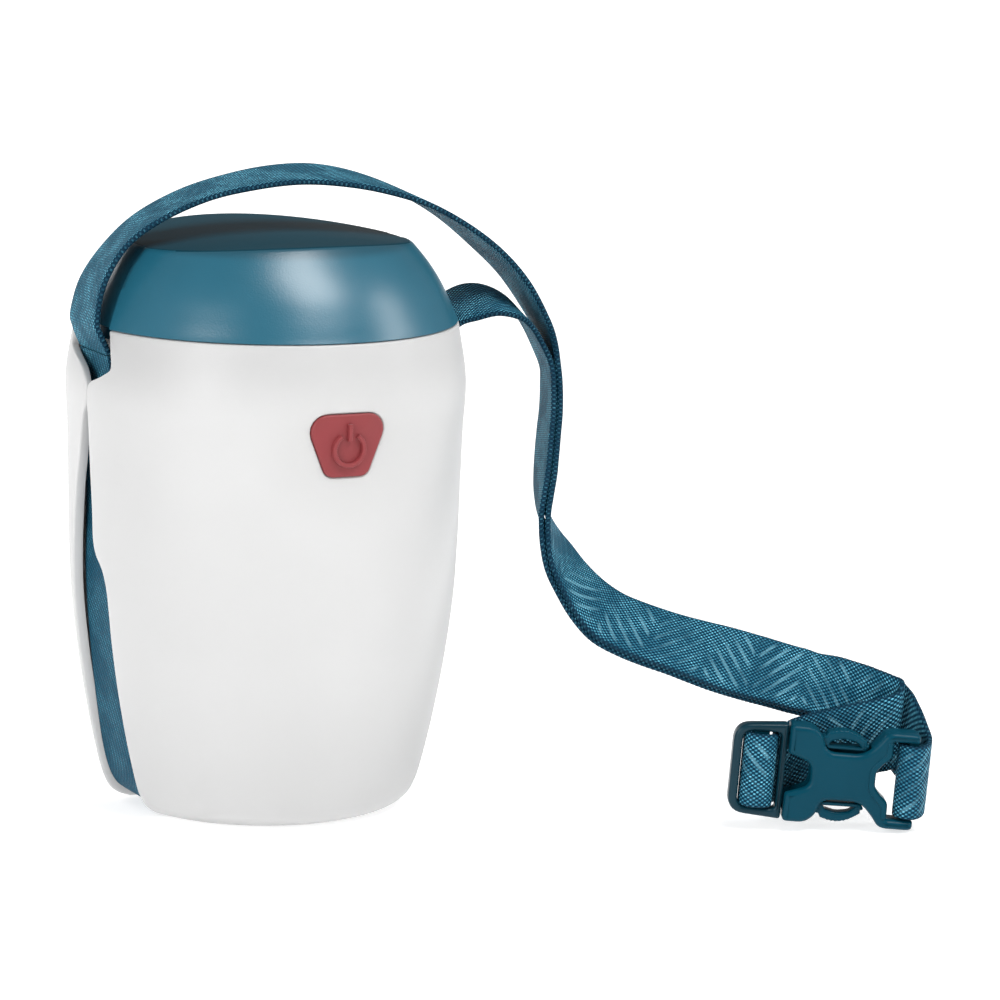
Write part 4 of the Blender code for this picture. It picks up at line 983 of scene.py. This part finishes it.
def plate(name, loops, low, high, bevel, place, materials):
    """A plate from an outer loop and hole loops, with rounded edges on both faces."""
    turns = [math.radians(turn) for turn in BEVEL_TURNS]
    levels = [(bevel * (1 - math.cos(turn)), high - bevel * (1 - math.sin(turn))) for turn in turns]
    levels.append((bevel + 0.12, high))
    levels = [(step, low + high - level) for step, level in reversed(levels)] + levels
    vertices, faces, rims = [], [], ([], [])
    for k, loop in enumerate(loops):
        loop = wound(loop, k == 0)
        rows = []
        for step, level in levels:
            rows.append(list(range(len(vertices), len(vertices) + len(loop))))
            vertices += [tuple(place(a, b, level)) for a, b in inset(loop, step)]
        faces += strip(rows, closed_rows=True)
        rims[0].append(rows[0])
        rims[1].append(rows[-1])
    for rim in rims:
        faces += cap_faces(vertices, rim)
    return put(name, vertices, faces, materials)


def cap_faces(vertices, rim):
    """Triangles filling the area between the loops of one face."""
    work = bmesh.new()
    numbers = [index for loop in rim for index in loop]
    corners = {index: work.verts.new(vertices[index]) for index in numbers}
    lookup = {corner: index for index, corner in corners.items()}
    edges = []
    for loop in rim:
        for first, second in zip(loop, loop[1:] + loop[:1]):
            edges.append(work.edges.new((corners[first], corners[second])))
    filled = bmesh.ops.triangle_fill(work, use_beauty=True, use_dissolve=False, edges=edges)
    made = [tuple(lookup[corner] for corner in item.verts) for item in filled["geom"]
            if isinstance(item, bmesh.types.BMFace)]
    work.free()
    return made


def both_sides(half):
    """A loop given for positive b, closed by its mirror image."""
    return [tuple(corner) for corner in half] + [(a, -b, r) for a, b, r in reversed(half)]


def buckle_box(name, low, high, half_b, half_c, bevel=0.5):
    corners = ((low, -half_b, 0.3), (high, -half_b, 0.3), (high, half_b, 0.3), (low, half_b, 0.3))
    return plate(name, [rounded_loop(corners)], -half_c, half_c, bevel, buckle_place,
                 [MATERIALS["buckle_plastic"]])


def arm_grip():
    """The arm's bowed outer edge with its row of fine grip ridges."""
    edge = []
    for a, b in smooth_curve(ARM_GRIP, 12):
        if GRIP_FROM < a < GRIP_TO:
            fade = min(1.0, (GRIP_TO - a) * 0.5)
            b += GRIP_HEIGHT * math.cos(2 * math.pi * a / GRIP_STEP) * fade
        edge.append((a, b))
    return edge


def dressed(piece, node, body):
    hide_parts(node)
    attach(piece, body)


def make_buckle():
    plastic = [MATERIALS["buckle_plastic"]]
    mouth = [(a, -b, r) for a, b, r in reversed(FEMALE_MOUTH_HALF)] + list(FEMALE_MOUTH_HALF)
    outline = both_sides(FEMALE_HALF) + mouth
    female = plate("buckle_female_plate", [rounded_loop(outline)], -3.0, 3.0, 1.0, buckle_place, plastic)
    cut(female, buckle_box("cavity", -11.0, 6.6, 7.9, 1.7, bevel=0.1))
    dressed(female, "buckle_female", LANTERN)
    rim = plate("buckle_female_rim", [rounded_loop(both_sides(FEMALE_RIM_HALF))], 2.6, 3.22, 0.22,
                buckle_place, plastic)
    bars = [rim, buckle_box("buckle_female_bar", 14.0, 16.0, 8.4, 1.2),
            buckle_box("buckle_male_bar", -17.0, -13.8, 8.2, 1.2)]
    for piece in bars:
        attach(piece, LANTERN)
    loops = [rounded_loop(both_sides(MALE_HALF), 8), rounded_loop(both_sides(MALE_HOLE_HALF))]
    # the male frame takes the darker copy of the buckle plastic: painted shade
    dressed(plate("buckle_male_frame", loops, -1.8, 1.8, 0.65, buckle_place, [MATERIALS["buckle_painted_shade"]]),
            "buckle_male", LANTERN)
    for name, node, side, body in (("buckle_arm_ring_upper", "buckle_arm_upper", 1, "arm_upper"),
                                   ("buckle_arm_ring_lower", "buckle_arm_lower", -1, "arm_lower")):
        outer = [(a, side * b) for a, b in rounded_loop(ARM_BACK)[:-1] + arm_grip()]
        slit = [(a, side * b) for a, b in rounded_loop(ARM_SLIT)]
        dressed(plate(name, [outer, slit], -1.6, 1.6, 0.5, buckle_place, plastic), node, body)


# ---- camera, floor and light ----
FLOOR_HALF = 6000.0
FLOOR_Z = -0.3
WORLD_STRENGTH = 0.22
LIGHTS_AIM = (0.0, 0.0, 0.08)
LIGHTS = (("key", (0.22, -0.57, 1.15), (0.50, 0.75), 13.0),       # name, place, size in m, power in W
          ("front_fill", (0.45, -1.25, 0.35), (0.70, 0.60), 1.2),
          ("left_fill", (-1.05, -0.60, 0.45), (0.50, 0.70), 9.5),
          ("side_fill", (1.10, -0.50, 0.60), (0.40, 0.70), 5.2),
          ("rim", (-0.52, 1.10, 0.62), (0.50, 0.50), 7.0))


def make_camera():
    azimuth, pitch, roll = (math.radians(v) for v in (CAMERA_AZIMUTH, CAMERA_PITCH, CAMERA_ROLL))
    level_share = math.cos(pitch)
    forward = Vector((math.sin(azimuth) * level_share, math.cos(azimuth) * level_share, -math.sin(pitch)))
    level = Vector((math.cos(azimuth), -math.sin(azimuth), 0.0))
    upright = level.cross(forward)
    right = level * math.cos(roll) + upright * math.sin(roll)
    up = upright * math.cos(roll) - level * math.sin(roll)
    data = bpy.data.cameras.new("camera")
    data.lens = CAMERA_LENS
    data.sensor_width = CAMERA_SENSOR
    data.clip_end = CAMERA_REACH
    camera = bpy.data.objects.new("camera", data)
    matrix = Matrix((right, up, -forward)).transposed().to_4x4()
    matrix.translation = Vector(CAMERA_PLACE)
    camera.matrix_world = matrix
    bpy.context.scene.collection.objects.link(camera)
    bpy.context.scene.camera = camera


def make_floor():
    """Pale paper that glows more towards the far end, so it stays white there without lamps."""
    make = Nodes("floor_paper")
    place = make.place()
    cloud = make.noise(place, 3.0, 1.0)
    away = make.add("ShaderNodeVectorMath", operation="LENGTH")
    make.link(place, away.inputs[0])
    glow = make.mix(make.spread(away.outputs["Value"], 0.3, 1.1), (0.64, 0.64, 0.64), (1.0, 1.0, 1.0))
    make.set(Base_Color=make.mix(make.spread(cloud, 0.3, 0.7), (0.62, 0.62, 0.62), (0.64, 0.64, 0.64)),
             Roughness=0.9, Specular_IOR_Level=0.0, Emission_Color=glow, Emission_Strength=1.0)
    corners = [(x * FLOOR_HALF, y * FLOOR_HALF, FLOOR_Z) for x, y in ((-1, -1), (1, -1), (1, 1), (-1, 1))]
    put("floor", corners, [(0, 1, 2, 3)], [make.material])


def area_light(name, place, size, power):
    data = bpy.data.lights.new(name, "AREA")
    data.shape = "RECTANGLE"
    data.size, data.size_y = size
    data.energy = power
    lamp = bpy.data.objects.new(name, data)
    lamp.location = place
    lamp.rotation_euler = (Vector(LIGHTS_AIM) - Vector(place)).to_track_quat("-Z", "Y").to_euler()
    bpy.context.scene.collection.objects.link(lamp)


def make_lights():
    world = bpy.data.worlds.new("studio")
    bpy.context.scene.world = world
    world.use_nodes = True
    background = world.node_tree.nodes["Background"]
    background.inputs["Color"].default_value = (1.0, 1.0, 1.0, 1.0)
    background.inputs["Strength"].default_value = WORLD_STRENGTH
    for light in LIGHTS:
        area_light(*light)
    bpy.context.scene.view_settings.view_transform = "Standard"


def finish_cad_nodes():
    """Give every CAD node that stays visible the material of its slot."""
    slots = {entry["node"]: entry["material_slot"] for entry in frame["record"]["subparts"]}
    for name, node in frame["nodes"].items():
        node.data.materials.clear()
        node.data.materials.append(MATERIALS[slots[name]])


finish_cad_nodes()
make_camera()
make_lights()
make_floor()
make_shells()
make_cap()
make_button()
make_flap()
make_buckle()
make_straps()
